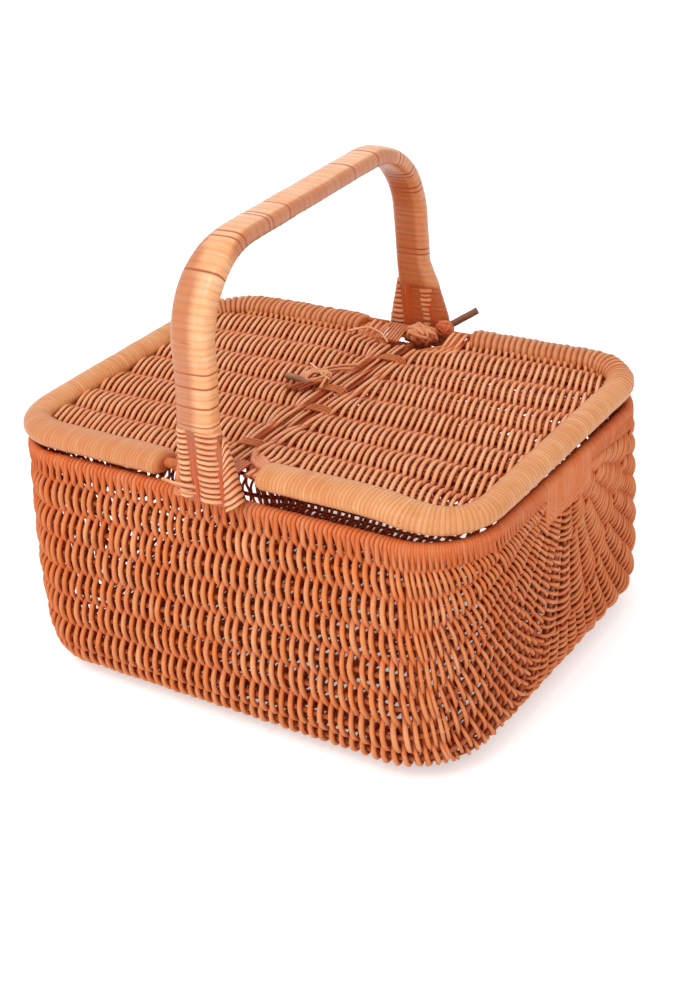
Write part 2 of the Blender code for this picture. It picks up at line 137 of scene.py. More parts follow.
class Graph:
    def __init__(self, tree):
        self.tree = tree

    def add(self, kind, inputs=None, out=0, **settings):
        node = self.tree.nodes.new(kind)
        for name, value in settings.items():
            setattr(node, name, value)
        for name, value in (inputs or {}).items():
            if isinstance(value, Wire):
                self.tree.links.new(value.socket, node.inputs[name])
            else:
                node.inputs[name].default_value = value
        return Wire(self, node.outputs[out]) if len(node.outputs) else None

    def vector(self, operation, a, b, out=0):
        return self.add("ShaderNodeVectorMath", {0: a, 1: b}, out, operation=operation)

    def stretched(self, vector, *factors):
        return self.vector("MULTIPLY", vector, factors)

    def scaled(self, vector, factor):
        return self.add("ShaderNodeVectorMath", {0: vector, 3: factor}, operation="SCALE")

    def clipped(self, value):
        return self.add("ShaderNodeClamp", {0: value, 1: 0.0, 2: 1.0})

    def spread(self, value, fromLow, fromHigh, toLow=0.0, toHigh=1.0):
        return self.add("ShaderNodeMapRange", {0: value, 1: fromLow, 2: fromHigh, 3: toLow, 4: toHigh})

    def colours(self, factor, a, b):
        ends = [value if isinstance(value, Wire) else (*value, 1) for value in (a, b)]
        return self.add("ShaderNodeMix", {0: factor, 6: ends[0], 7: ends[1]}, 2, data_type="RGBA", clamp_factor=True)

    def noise(self, vector, scale, detail=2.0, roughness=0.5, out=0):
        inputs = {"Vector": vector, "Scale": scale, "Detail": detail, "Roughness": roughness}
        return self.add("ShaderNodeTexNoise", inputs, out)

    def joined(self, *parts):
        return self.add("ShaderNodeCombineXYZ", dict(enumerate(parts)))

    def outputs(self, kind, *words, inputs=None):
        found = self.add(kind, inputs).socket.node.outputs
        return [Wire(self, found[word]) for word in words]


# Willow finishes. Each colour is linear; "streak" is the strength of the grain along a rod, "deep" the
# colour of dark marks and of painted shade, "flank" the painted shade of a rod's sides and "dark" the
# colour of painted shade where no light reaches.
finishes = dict(
    woven_willow=dict(
        pale=(0.86, 0.39, 0.175), warm=(0.78, 0.225, 0.060), deep=(0.56, 0.070, 0.010), dark=(0.10, 0.020, 0.006),
        streak=0.55, rough=0.54, coat=0.02, bump=0.00016, spots=0.4, flank=0.56, shine=0.18),
    # rib_willow is darker for rods seen behind or under others: partly their own colour, partly painted shade
    rib_willow=dict(
        pale=(0.62, 0.19, 0.055), warm=(0.46, 0.10, 0.022), deep=(0.26, 0.030, 0.006), dark=(0.06, 0.014, 0.005),
        streak=0.5, rough=0.50, coat=0.05, bump=0.00014, spots=0.4, flank=0.5),
    lid_willow=dict(
        pale=(0.94, 0.48, 0.245), warm=(0.84, 0.31, 0.110), deep=(0.52, 0.075, 0.014), dark=(0.09, 0.018, 0.006),
        streak=0.5, rough=0.42, coat=0.10, bump=0.00008, spots=0.35, flank=0.30),
    border_willow=dict(
        pale=(0.80, 0.40, 0.170), warm=(0.66, 0.245, 0.075), deep=(0.46, 0.085, 0.016), dark=(0.09, 0.022, 0.008),
        streak=0.6, rough=0.38, coat=0.15, bump=0.00010, spots=0.6, flank=0.55),
    handle_skein=dict(
        pale=(0.93, 0.54, 0.29), warm=(0.86, 0.34, 0.12), deep=(0.42, 0.085, 0.016), dark=(0.10, 0.022, 0.008),
        streak=0.45, rough=0.30, coat=0.35, bump=0.00008, spots=0.5, flank=0.10),
    # lashing_cane's pale is as light as the highlights on wound turns: partly its own colour, partly a painted
    # highlight
    lashing_cane=dict(
        pale=(0.95, 0.55, 0.27), warm=(0.78, 0.25, 0.075), deep=(0.50, 0.066, 0.011), dark=(0.07, 0.016, 0.006),
        streak=0.5, rough=0.34, coat=0.25, bump=0.00010, spots=0.5, flank=0.40),
    bark_twig=dict(
        pale=(0.42, 0.20, 0.11), warm=(0.26, 0.09, 0.045), deep=(0.08, 0.025, 0.012), dark=(0.03, 0.012, 0.008),
        streak=0.8, rough=0.62, coat=0.0, bump=0.00030, spots=0.8, flank=0.6),
)


# Noise scales, and how far each noise moves the tone between warm and pale
grainScale = dict(streaks=1500.0, blotches=42.0, patches=260.0, marks=420.0, loose=60.0)
toneReach = dict(streaks=(-0.5, 0.5), blotches=(-0.12, 0.37), patches=(-0.14, 0.14))


def freshMaterial(name):
    made = bpy.data.materials.new(name)
    made.use_nodes = True
    made.node_tree.nodes.clear()
    return made, Graph(made.node_tree)


def willow(name, look, loose=False):
    # loose: for a carried-over solid, which has no rod attributes and takes its grain from its place
    made, graph = freshMaterial(name)

    def attribute(word, out=2):
        return graph.add("ShaderNodeAttribute", out=out, attribute_name=word)

    place = graph.add("ShaderNodeTexCoord", out=3)
    if loose:
        grain = graph.stretched(place, 1.0, 0.05, 1.0)
        tint = graph.noise(place, grainScale["loose"], 1.0)
    else:
        grain = attribute("grain", 1)
        tint = attribute("tint")
        # Painted shade: a rod's sides darken by the facing attribute and its recesses by the shade attribute
        flank = graph.spread(attribute("facing"), -0.1, 0.85, look["flank"], 1.0)
        shade = attribute("shade") * flank
    streaks = graph.noise(graph.stretched(grain, 1.0, 1.0, 0.035), grainScale["streaks"], 3.0, 0.6)
    blotches = graph.noise(place, grainScale["blotches"], 2.0, 0.6)
    patches = graph.noise(graph.stretched(grain, 0.35, 0.35, 0.30), grainScale["patches"], 2.0, 0.55)
    tone = tint * 0.75 + graph.spread(streaks, 0.32, 0.68, *toneReach["streaks"]) * look["streak"]
    tone = tone + graph.spread(blotches, 0.3, 0.7, *toneReach["blotches"])
    tone = graph.clipped(tone + graph.spread(patches, 0.3, 0.7, *toneReach["patches"]))
    colour = graph.colours(tone, look["warm"], look["pale"])
    marks = graph.noise(graph.stretched(grain, 0.5, 0.5, 0.16), grainScale["marks"], 2.0, 0.7)
    marks = graph.clipped(graph.spread(marks, 0.66, 0.76)) * look["spots"]
    colour = graph.colours(marks, colour, look["deep"])
    if not loose:
        # Painted shade: the lower the shade, the nearer the colour comes to the deep colour
        colour = graph.colours(graph.clipped(1.0 - shade), colour, look["deep"])
        # A shade under zero is a slot or a groove that no light reaches
        colour = graph.colours(graph.clipped(0.0 - shade), colour, look["dark"])
    relief = streaks * 0.6 + patches * 0.4
    bump = graph.add("ShaderNodeBump", {"Strength": 0.6, "Distance": look["bump"] * 4, "Height": relief})
    roughness = graph.spread(streaks, 0.3, 0.7, look["rough"] - 0.06, look["rough"] + 0.10)
    shader = graph.add("ShaderNodeBsdfPrincipled", {
        "Base Color": colour, "Roughness": roughness, "Metallic": 0.0, "Coat Weight": look["coat"],
        "Coat Roughness": 0.25, "Specular IOR Level": look.get("shine", 0.28), "Normal": bump})
    graph.add("ShaderNodeOutputMaterial", {"Surface": shader})
    return made


materials = {name: willow(name, look) for name, look in finishes.items()}
print("stage: materials")


# Geometry Nodes: a group with named inputs, and the trees for rods and wound rolls
def newTree(name, sizes):
    tree = bpy.data.node_groups.new(name, "GeometryNodeTree")
    tree.interface.new_socket("Geometry", in_out="INPUT", socket_type="NodeSocketGeometry")
    for word, value in sizes.items():
        kind = "NodeSocketInt" if isinstance(value, int) else "NodeSocketFloat"
        tree.interface.new_socket(word, in_out="INPUT", socket_type=kind).default_value = value
    tree.interface.new_socket("Finish", in_out="INPUT", socket_type="NodeSocketMaterial")
    tree.interface.new_socket("Geometry", in_out="OUTPUT", socket_type="NodeSocketGeometry")
    graph = Graph(tree)
    entry = tree.nodes.new("NodeGroupInput")
    given = {socket.name: Wire(graph, socket) for socket in entry.outputs if socket.name}
    return tree, graph, given


def endTree(graph, shape, finish):
    shape = graph.add("GeometryNodeSetShadeSmooth", {"Geometry": shape})
    shape = graph.add("GeometryNodeRealizeInstances", {"Geometry": shape})
    shape = graph.add("GeometryNodeSetMaterial", {"Geometry": shape, "Material": finish})
    graph.add("NodeGroupOutput", {0: shape})


def named(graph, word, kind="FLOAT"):
    return graph.add("GeometryNodeInputNamedAttribute", {"Name": word}, data_type=kind)


def namedVector(graph, word):
    return named(graph, word, "FLOAT_VECTOR")


def stored(graph, shape, word, value, kind="FLOAT_VECTOR"):
    return graph.add("GeometryNodeStoreNamedAttribute", {"Geometry": shape, "Name": word, "Value": value},
                     data_type=kind, domain="POINT")


def wandering(graph, shape, place, given):
    # Pushes a shape's points a little, by a noise field
    field = graph.noise(place, given["wanderScale"], 1.0, out=1)
    push = graph.scaled(graph.vector("SUBTRACT", field, (0.5, 0.5, 0.5)), given["wander"] * 2.0)
    return graph.add("GeometryNodeSetPosition", {"Geometry": shape, "Offset": push})


def swept(graph, line, scale, given):
    # A tube along a line; "around" keeps each point's place on the unit ring
    ring = graph.add("GeometryNodeCurvePrimitiveCircle", {"Resolution": given["sides"], "Radius": 1.0}, mode="RADIUS")
    ring = stored(graph, ring, "around", graph.add("GeometryNodeInputPosition"))
    inputs = {"Curve": line, "Profile Curve": ring, "Scale": scale, "Fill Caps": True}
    shape = graph.add("GeometryNodeCurveToMesh", inputs)
    across, up = graph.outputs("ShaderNodeSeparateXYZ", 0, 1, inputs={0: namedVector(graph, "around")})
    return shape, across, up


def makeRodTree():
    # Round rods along guide lines: each line's points carry size, tint, shade, along and out
    tree, graph, given = newTree("rods", dict(radius=0.002, sides=8, wander=0.0002, wanderScale=60.0, seed=1))
    line = graph.add("GeometryNodeMeshToCurve", {"Mesh": given["Geometry"]})
    shift = graph.joined(given["seed"] * 3.7, given["seed"] * 1.9, named(graph, "tint") * 9.0)
    line = wandering(graph, line, graph.vector("ADD", graph.add("GeometryNodeInputPosition"), shift), given)
    shape, across, up = swept(graph, line, named(graph, "size") * given["radius"], given)
    across, up = across * given["radius"] + named(graph, "tint") * 3.0, up * given["radius"]
    shape = stored(graph, shape, "grain", graph.joined(across, up, named(graph, "along")))
    # facing: how far a ring point looks the way out; the material paints shade on the sides that look away
    facing = graph.vector("DOT_PRODUCT", graph.add("GeometryNodeInputNormal"), namedVector(graph, "out"), 1)
    endTree(graph, stored(graph, shape, "facing", facing, "FLOAT"), given["Finish"])
    return tree


def makeRollTree():
    # A wound roll: every guide point is one ring, with its centre, its two half axes and its slant
    tree, graph, given = newTree("rolls", dict(sides=16, square=1.0, edge=0.0, wander=0.0002, wanderScale=90.0, seed=1))
    line = graph.add("GeometryNodeMeshToCurve", {"Mesh": given["Geometry"]})
    line = stored(graph, line, "middle", graph.add("GeometryNodeInputPosition"))
    shape, across, up = swept(graph, line, 0.001, given)
    place = namedVector(graph, "middle")
    for word, side in (("wide", across), ("tall", up)):
        reach = side.maths("ABSOLUTE") ** given["square"] * side.maths("SIGN")
        place = graph.vector("ADD", place, graph.scaled(namedVector(graph, word), reach))
    place = graph.vector("ADD", place, graph.scaled(namedVector(graph, "slant"), across))
    shape = graph.add("GeometryNodeSetPosition", {"Geometry": shape, "Position": place})
    shape = wandering(graph, shape, graph.add("GeometryNodeInputPosition"), given)
    # A wrap's grain runs round the roll, so its length is the angle and its width is along the roll
    # facing: high on the face about the shift across the roll and lower on its sides, by the edge share; the material
    # paints a highlight and shade by it
    aside = graph.spread((across - named(graph, "shift")).maths("ABSOLUTE"), 0.50, 0.72)
    shape = stored(graph, shape, "facing", 0.9 - aside * given["edge"], "FLOAT")
    grain = graph.joined(named(graph, "along"), named(graph, "tint") * 3.0, up.maths("ARCTAN2", across) * 0.012)
    endTree(graph, stored(graph, shape, "grain", grain), given["Finish"])
    return tree


rodTree = makeRodTree()
rollTree = makeRollTree()
guideVectors = ("out", "wide", "tall", "slant")


def guideMesh(name, lines, closed=False):
    # lines: dictionaries of points and of values for each point, or one value for them all
    mesh = bpy.data.meshes.new(name)
    points = np.concatenate([line["points"] for line in lines])
    edges, start = [], 0
    for line in lines:
        spots = np.arange(start, start + len(line["points"]))
        edges.append(columns(spots[:-1], spots[1:]))
        if closed:
            edges.append(np.array([[spots[-1], spots[0]]]))
        start += len(spots)
    edges = np.concatenate(edges)
    mesh.vertices.add(len(points))
    mesh.vertices.foreach_set("co", points.astype(np.float32).ravel())
    mesh.edges.add(len(edges))
    mesh.edges.foreach_set("vertices", edges.astype(np.int32).ravel())
    for word in lines[0]:
        if word == "points":
            continue
        isVector = word in guideVectors
        values = np.concatenate([np.broadcast_to(line[word], line["points"].shape if isVector else len(line["points"]))
                                 for line in lines])
        layer = mesh.attributes.new(word, "FLOAT_VECTOR" if isVector else "FLOAT", "POINT")
        layer.data.foreach_set("vector" if isVector else "value", values.astype(np.float32).ravel())
    mesh.update()
    return mesh


def grown(name, tree, mesh, sizes, finish, part):
    # Runs a tree on a guide mesh and keeps the plain mesh that comes out
    guide = placed(name + "Guide", mesh)
    modifier = guide.modifiers.new("grow", "NODES")
    modifier.node_group = tree
    sockets = {item.name: item.identifier for item in tree.interface.items_tree if item.in_out == "INPUT"}
    for word, value in sizes.items():
        modifier[sockets[word]] = value
    modifier[sockets["Finish"]] = materials[finish]
    bpy.context.view_layer.update()
    graph = bpy.context.evaluated_depsgraph_get()
    made = bpy.data.meshes.new_from_object(guide.evaluated_get(graph), preserve_all_data_layers=True, depsgraph=graph)
    made.name = name
    for word in ("around", "middle", "wide", "tall", "slant", "size", "along", "out", "shift"):
        if word in made.attributes:
            made.attributes.remove(made.attributes[word])
    guide.modifiers.remove(modifier)
    bpy.data.objects.remove(guide, do_unlink=True)
    obj = placed(name, made)
    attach(obj, part)
    print("piece:", name, len(obj.data.polygons), "faces")
    return obj


def rods(name, lines, finish, part, closed=False, **sizes):
    for line in lines:
        line.setdefault("out", (0.0, 0.0, 1.0))
    return grown(name, rodTree, guideMesh(name + "Lines", lines, closed), sizes, finish, part)


def roll(name, line, finish, part, **sizes):
    return grown(name, rollTree, guideMesh(name + "Line", [line]), sizes, finish, part)


# The body's outer face, unrolled: s runs along the rim from the front wall's middle to the end
# wall's middle, and h is the height share, 1 at the wall's top and 0 at the bottom's edge
def wallSection(h):
    h = np.asarray(h, float)
    turn = np.clip(h / body["bendShare"], 0, 1) * math.pi / 2
    inset, level = body["bend"] * (1 - np.sin(turn)), body["bend"] * (1 - np.cos(turn))
    down = np.clip((1 - h) / (1 - body["bendShare"]), 0, 1)
    low = h < body["bendShare"]
    length = np.where(low, body["bellyLength"] - inset, mix(body["halfLength"], body["bellyLength"], down))
    depth = mix(body["halfDepth"], body["bellyDepth"], np.sin(down * math.pi / 2))
    corner = np.where(low, body["bellyCorner"] - inset, mix(body["rimCorner"], body["bellyCorner"], down))
    return (length, np.where(low, body["bellyDepth"] - inset, depth), corner,
            np.where(low, level, mix(body["wallTop"], body["bend"], down)))


def sidePoint(along, halfRun, halfOut, corner):
    straight = halfRun - corner
    reach = along * (straight + corner * math.pi / 4)
    turn = np.maximum(reach - straight, 0) / corner
    run = np.where(reach <= straight, reach, straight + corner * np.sin(turn))
    return run, halfOut - np.where(reach <= straight, 0, corner * (1 - np.cos(turn)))


def hull(s, h):
    # The front right quarter
    length, depth, corner, level = wallSection(h)
    onFront = s <= body["frontRun"]
    frontX, frontY = sidePoint(np.minimum(s / body["frontRun"], 1), length, depth, corner)
    endY, endX = sidePoint(np.clip(1 - (s - body["frontRun"]) / body["endRun"], 0, 1), depth, length, corner)
    return columns(np.where(onFront, frontX, endX), -np.where(onFront, frontY, endY), level)


# Woven wall: weavers run from the front rim to the back rim, under the bottom or round an end
weave = dict(
    pitch=0.0036, finePitch=0.0019, fineFrom=dict(left=0.150, right=0.125), fineRun=0.040,
    lastStart=0.287, fan=dict(left=0.18, right=0.30), fanShare=0.77, cornerPlace=0.205,
    inset=0.0046, bottomInset=0.0071, swing=0.0038, radius=0.00192, fineRadius=0.00138, ribRadius=0.0021,
    firstRib=20 / 632, ribStep=22.77 / 632, ribCount=27, pointsPerGap=7,
    zigzag=0.0006, endZigzag=0.0020, wander=0.00050, seed=11,
    wallRun=0.187, lean=0.85, soften=(0.016, 0.050), topLevel=0.93, levelPower=1.15, rimLean=0.20,
    thinLength=0.33, thinnerLength=0.16,
    # Shade of a weaver on its waves (middle and swing) and at the rim, on the turn over the hoop,
    # and the share left on the end walls
    waveShade=(0.62, 0.44), rimShade=0.52, turnShade=0.55, endShade=0.74, leftPaintedShade=0.30,
    # How much single weavers and rows differ
    leanSpread=(0.6, 1.3), thickSpread=(0.93, 1.06), depthSpread=0.0002, tintSpread=0.22, roundness=0.75,
)
# The hoop that the weavers wrap: how far its middle lies inside the outer face, and its level
wrap = dict(
    inset=0.0057, level=0.1742, radius=0.0036, inner=(0.1625, 0.168), outerDepth=0.0024,
    blendStart=0.001, blendRun=0.008, slant=0.0030, hoopLevel=0.1718, hoopRadius=0.0034, closingTail=0.003,
)


def wallPitch(side, start):
    return mix(weave["pitch"], weave["finePitch"], rising(start, weave["fineFrom"][side], weave["fineRun"]))


def weaverStarts(side):
    found = [0.0]
    while found[-1] < weave["lastStart"]:
        found.append(found[-1] + wallPitch(side, found[-1]))
    return list(enumerate(found))


def weaverCourse(side, start):
    # The line on the outer face that a weaver starting at the rim place "start" follows
    fan = weave["fan"][side]
    turnStart = weave["cornerPlace"] / (1 + fan)
    if start <= turnStart:
        h = np.linspace(1, 0, 160)
        front = hull(start * (1 + fan * (1 - h)), h)
        # The bottom is crossed straight from the front wall to the back wall
        x, y = hull(np.array(start * (1 + fan)), np.array(0.0))[:2]
        bottom = columns(x, -np.linspace(-1, 1, 121)[1:-1] * float(y), 0.0)
    else:
        tall = weave["wallRun"]
        t = (start - turnStart) / (weave["lastStart"] - turnStart)
        low = weave["topLevel"] * t ** weave["levelPower"]
        knee = start + (fan * weave["fanShare"] + weave["lean"] * t) * (1 - low) * tall
        line = np.array([(start, tall), (min(knee, endMiddle - 0.004), low * tall), (endMiddle, low * tall)])
        line = resample(line, np.arange(0, lengthsAlong(line)[-1], 0.001))
        reach = int(min(mix(*weave["soften"], t) / 0.001, len(line) / 2.2))
        # The far end is mirrored before it is softened, so that the line stays level there
        doubled = np.concatenate([line, (line * (-1, 1) + (2 * endMiddle, 0))[::-1]])
        line = softened(doubled, reach)[: len(line)]
        front = hull(np.minimum(line[:, 0], endMiddle), np.clip(line[:, 1] / tall, 0, 1))
        bottom = front[:0]
    back = front[::-1] * (1, -1, 1)
    line = softened(evenly(np.concatenate([front, bottom, back[0 if len(bottom) else 1:]]), 700), 7)
    return line * (-1, 1, 1) if side == "left" else line


def outward(points):
    # The way out of the body at points of its outer face
    x, y, z = points.T
    bend, corner = body["bend"], body["bellyCorner"]
    flatX = np.sign(x) * np.maximum(np.abs(x) - (body["bellyLength"] - corner), 0)
    flatY = np.sign(y) * np.maximum(np.abs(y) - (body["bellyDepth"] - corner), 0)
    down = np.clip((bend - z) / bend, 0, 1)
    level = unit(columns(flatX, flatY, 0.0)) * np.sqrt(np.clip(1 - down * down, 0, 1))[:, None]
    # The front and back walls lean in towards the rim
    up = np.clip((z - bend) / (body["wallTop"] - bend), 0, 1)
    lean = weave["rimLean"] * up * np.abs(unit(columns(flatX, flatY))[:, 1])
    return unit(level + columns(0.0, 0.0, lean - down))


def overRim(top):
    # The turn over the hoop, from inside the wall to the first point of a weaver on the wall
    way = unit(outward(top[None])[0] * (1, 1, 0))
    run = np.array([-way[1], way[0], 0.0])
    turn = np.linspace(math.pi, 0, 7)
    # Measured from the middle of the wall, where the given point lies
    inward = wrap["inset"] - wrap["radius"] * np.cos(turn) - weave["inset"]
    inward = np.concatenate([[inward[0], inward[0]], inward])
    shift = wrap["slant"] * np.linspace(1, 0.1, len(inward))
    points = top - way * inward[:, None] + run * shift[:, None]
    points[:, 2] = np.concatenate([wrap["inner"], wrap["level"] + wrap["radius"] * np.sin(turn)])
    return points, way


def triangle(row):
    return np.arcsin(np.sin(math.pi * row)) * 2 / math.pi


def buildBody():
    chance = np.random.default_rng(weave["seed"])
    weavers, ribCount = [], weave["ribCount"]
    ribPoints = {rib: {} for rib in range(ribCount)}
    ribShares = weave["firstRib"] + weave["ribStep"] * np.arange(ribCount)
    rowLean = chance.uniform(*weave["leanSpread"], ribCount + 1)
    steps = np.arange(weave["pointsPerGap"]) / weave["pointsPerGap"]
    starts = [(-number, "left", start) for number, start in weaverStarts("left")][:0:-1]
    starts += [(number, "right", start) for number, start in weaverStarts("right")]
    for number, side, start in starts:
        course = weaverCourse(side, start)
        total = lengthsAlong(course)[-1]
        step = 1 if total >= weave["thinLength"] else 2 if total >= weave["thinnerLength"] else 4
        active = [rib for rib in range(ribCount) if step == 1 or rib % step == 1]
        # Places along the weaver: its ends, its ribs and the points between them
        places = [0.0] + [ribShares[rib] for rib in active] + [1.0]
        share = np.concatenate([mix(one, two, steps) for one, two in zip(places, places[1:])] + [[1.0]])
        row = np.concatenate([first + steps for first in range(-1, len(active))] + [[float(len(active))]])
        points = resample(course, share * total)
        way = outward(points)
        sideways = unit(np.cross(tangents(points), way))
        wave = np.cos(math.pi * row)
        swing = np.sign(wave) * np.abs(wave) ** weave["roundness"] * parity(number)
        # Near the rim every weaver comes to the outside, ready to turn over the hoop
        fromRim = np.minimum(share, 1 - share) * total
        toRim = 1 - rising(fromRim, wrap["blendStart"], wrap["blendRun"])
        lean = np.interp(row, np.arange(len(active)), rowLean[active]) if len(active) > 1 else 1.0
        onFront = rising(np.abs(points[:, 1]), 0.10, 0.03)
        leftEnd = rising(-points[:, 0], 0.10, 0.08) * onFront
        zigzag = mix(weave["zigzag"] * onFront, weave["endZigzag"], leftEnd) * triangle(row) * lean * (1 - toRim)
        under = np.clip(-way[:, 2], 0, 1) ** 2
        middle = points - way * mix(weave["inset"], weave["bottomInset"], under)[:, None]
        fine = (wallPitch(side, start) - weave["finePitch"]) / (weave["pitch"] - weave["finePitch"])
        radius = mix(weave["fineRadius"], weave["radius"], fine) / weave["radius"]
        spotCount = len(active) + 3
        spots = np.arange(-1, spotCount - 1)
        jitter = np.interp(row, spots, chance.normal(0, weave["wander"] * mix(0.6, 1, fine), spotCount))
        depth = np.interp(row, spots, chance.normal(0, weave["depthSpread"], spotCount))
        depth = mix(weave["swing"] * mix(0.75, 1.0, fine) * swing + depth, wrap["outerDepth"], toRim)
        path = middle + way * depth[:, None] + sideways * (jitter - zigzag)[:, None]
        thick = chance.uniform(*weave["thickSpread"]) * radius
        thick = thick * (0.95 + 0.09 * mix(swing, 0, toRim)) * mix(1.0, 0.84, under)
        tints = np.interp(row, spots, np.clip(chance.normal(0.5, weave["tintSpread"], spotCount), 0, 1))
        # Painted shade: the left end of the front is darker, by a lower tint and a lower shade
        leftShadeShare = rising(start, 0.04, 0.10) if side == "left" else 0.0
        tint = np.clip(tints + chance.normal(0, weave["tintSpread"]) - weave["leftPaintedShade"] * leftShadeShare, 0, 1)
        low, high = weave["waveShade"]
        shade = np.clip(mix(low + high * swing, weave["rimShade"], toRim), -0.10, 1)
        shade = shade * mix(1.0, weave["endShade"], np.abs(way[:, 0]) ** 2) * (1 - 0.14 * leftShadeShare)
        for rib in active:
            ribPoints[rib][number] = middle[np.argmin(np.abs(share - ribShares[rib]))]
        for end in (0, -1):
            turned, aside = overRim(middle[end])
            many = np.ones(len(turned))
            values = (turned, many[:, None] * aside + (0, 0, 0.6), many * thick[end] * 0.96, many * tint[end],
                      many * weave["turnShade"] * mix(1.0, 0.85, abs(aside[0]) ** 2))
            path, way, thick, tint, shade = [
                np.concatenate([old[:-2], new[::-1]] if end else [new, old[2:]])
                for new, old in zip(values, (path, way, thick, tint, shade))]
        weavers.append((start * (1 if side == "right" else -1), dict(
            points=path, size=thick, tint=tint, shade=shade, out=unit(way), along=lengthsAlong(path) + number * 0.37)))
    ribs = []
    for rib, found in ribPoints.items():
        line = np.array([found[number] for number in sorted(found)])
        line = evenly(line, max(len(line), 8))
        ribs.append(dict(points=line, size=1.0, tint=chance.uniform(0.2, 0.9), shade=0.6, out=outward(line),
                         along=lengthsAlong(line) + rib * 0.91))
    return weavers, ribs


def endWraps():
    # Short turns that close the hoop in the middle of each end wall
    chance = np.random.default_rng(weave["seed"] + 1)
    found = []
    places = np.arange(weave["lastStart"], endMiddle, weave["finePitch"])
    for sign, mirror, place in [(sign, mirror, place) for sign in (-1, 1) for mirror in (-1, 1) for place in places]:
        points = hull(np.full(6, place), np.linspace(1.0, 0.86, 6)) * (sign, mirror, 1)
        way = outward(points)
        middle = points - way * weave["inset"]
        turned, aside = overRim(middle[0])
        path = np.concatenate([turned, (middle + way * wrap["outerDepth"])[1:]])
        path[-1] -= way[-1] * wrap["closingTail"]
        found.append(dict(
            points=path, size=0.74 * chance.uniform(*weave["thickSpread"]), tint=np.clip(chance.normal(0.5, 0.2), 0, 1),
            shade=0.66, out=unit(aside + (0, 0, 0.5)), along=lengthsAlong(path) + place * 9))
    return found


bodyWeavers, bodyRibs = buildBody()
print("stage: body lines", len(bodyWeavers), "weavers")
for word, low, high in (("leftWeavers", -1.0, -0.150), ("middleLeftWeavers", -0.150, -0.012),
                        ("middleWeavers", -0.012, 0.125), ("rightWeavers", 0.125, 1.0)):
    lines = [line for place, line in bodyWeavers if low <= place < high]
    rods(word, lines, "woven_willow", "basket", radius=weave["radius"],
                            sides=7 if "middle" in word else 6, wander=0.00022, wanderScale=70.0, seed=3)
wallRibs = rods("wallRibs", bodyRibs, "rib_willow", "basket", radius=weave["ribRadius"], sides=6,
                wander=0.0004, wanderScale=30.0, seed=5)
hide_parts("body_weave")
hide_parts(*[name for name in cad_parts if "wall_rib" in name or "bottom_rib" in name])


# Wound rolls. A roll's guide points stand at fixed phases of each turn, each with a share of the ridge.
turnPhases = ((0.0, 0.0), (0.2, 0.86), (0.5, 1.0), (0.8, 0.86))


def woundLine(path, wide, tall, pitch, ridge, chance, slant=0.0, tintSpread=0.2, wideWay=None, uneven=0.12, low=0.25):
    # path is a fine line. The half axes, pitch, ridge and slant are numbers or functions of the
    # place along it; low is the shade of the grooves.
    def at(value, spots):
        return value(spots) if callable(value) else np.full(len(spots), value)

    total = lengthsAlong(path)[-1]
    fine = np.linspace(0, total, 3000)
    rate = 1 / at(pitch, fine)
    done = np.concatenate([[0], np.cumsum((rate[1:] + rate[:-1]) / 2 * np.diff(fine))])
    turns = max(int(round(done[-1])), 3)
    marks = np.arange(turns + 1.0)
    marks[1:-1] += chance.uniform(-uneven, uneven, turns - 1)
    edges = np.interp(marks / turns * done[-1], done, fine) / total
    tones = np.clip(chance.normal(0.5, tintSpread, turns), 0, 1)
    bulk = chance.normal(0, 0.12, turns)
    phase, height = np.array(turnPhases).T
    places = np.append(mix(edges[:-1, None], edges[1:, None], phase), 1.0) * total
    lift = np.append(height * (1 + bulk[:, None]), 0.0)
    shade = np.append(np.tile(mix(low, 1, height ** 2), turns), 0.3)
    tint = np.append(np.repeat(tones, len(phase)), tones[-1])
    points = resample(path, places)
    way = tangents(points)
    if wideWay is None:
        sideWay = unit(np.cross((0.0, 0, 1), way))
    else:
        sideWay = np.broadcast_to(np.array(wideWay, float), points.shape)
    upWay = unit(np.cross(way, sideWay))
    grow = (lift - 1) * at(ridge, places)
    return dict(points=points, wide=sideWay * (at(wide, places) + grow)[:, None],
                tall=upWay * (at(tall, places) + grow)[:, None], slant=way * at(slant, places)[:, None],
                tint=tint, shade=shade, along=places)


def roundedLoop(halfX, halfY, corner, level, count=400):
    # A closed level line with round corners, anticlockwise from above
    turns = np.linspace(0, math.pi / 2, 30)
    line = []
    for signX, signY, start in ((1, 1, 0), (-1, 1, 1), (-1, -1, 2), (1, -1, 3)):
        angle = turns + start * math.pi / 2
        line.append(columns(signX * (halfX - corner) + corner * np.cos(angle),
                            signY * (halfY - corner) + corner * np.sin(angle), level))
    return evenly(np.concatenate(line + [line[0][:1]]), count + 1)[:-1]


hoopSizes = [body[word] - wrap["inset"] for word in ("halfLength", "halfDepth", "rimCorner")]
hoopLine = roundedLoop(*hoopSizes, wrap["hoopLevel"])
hoop = dict(points=hoopLine, size=1.0, tint=0.4, shade=0.6, along=lengthsAlong(hoopLine))
rimHoop = rods("rimHoop", [hoop], "rib_willow", "basket", closed=True, radius=wrap["hoopRadius"], sides=8,
               wander=0.0003, wanderScale=40.0, seed=7)
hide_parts("rim_hoop")
rods("rimWraps", endWraps(), "woven_willow", "basket", radius=weave["radius"], sides=6,
     wander=0.0002, wanderScale=70.0, seed=8)
print("stage: body and rim")

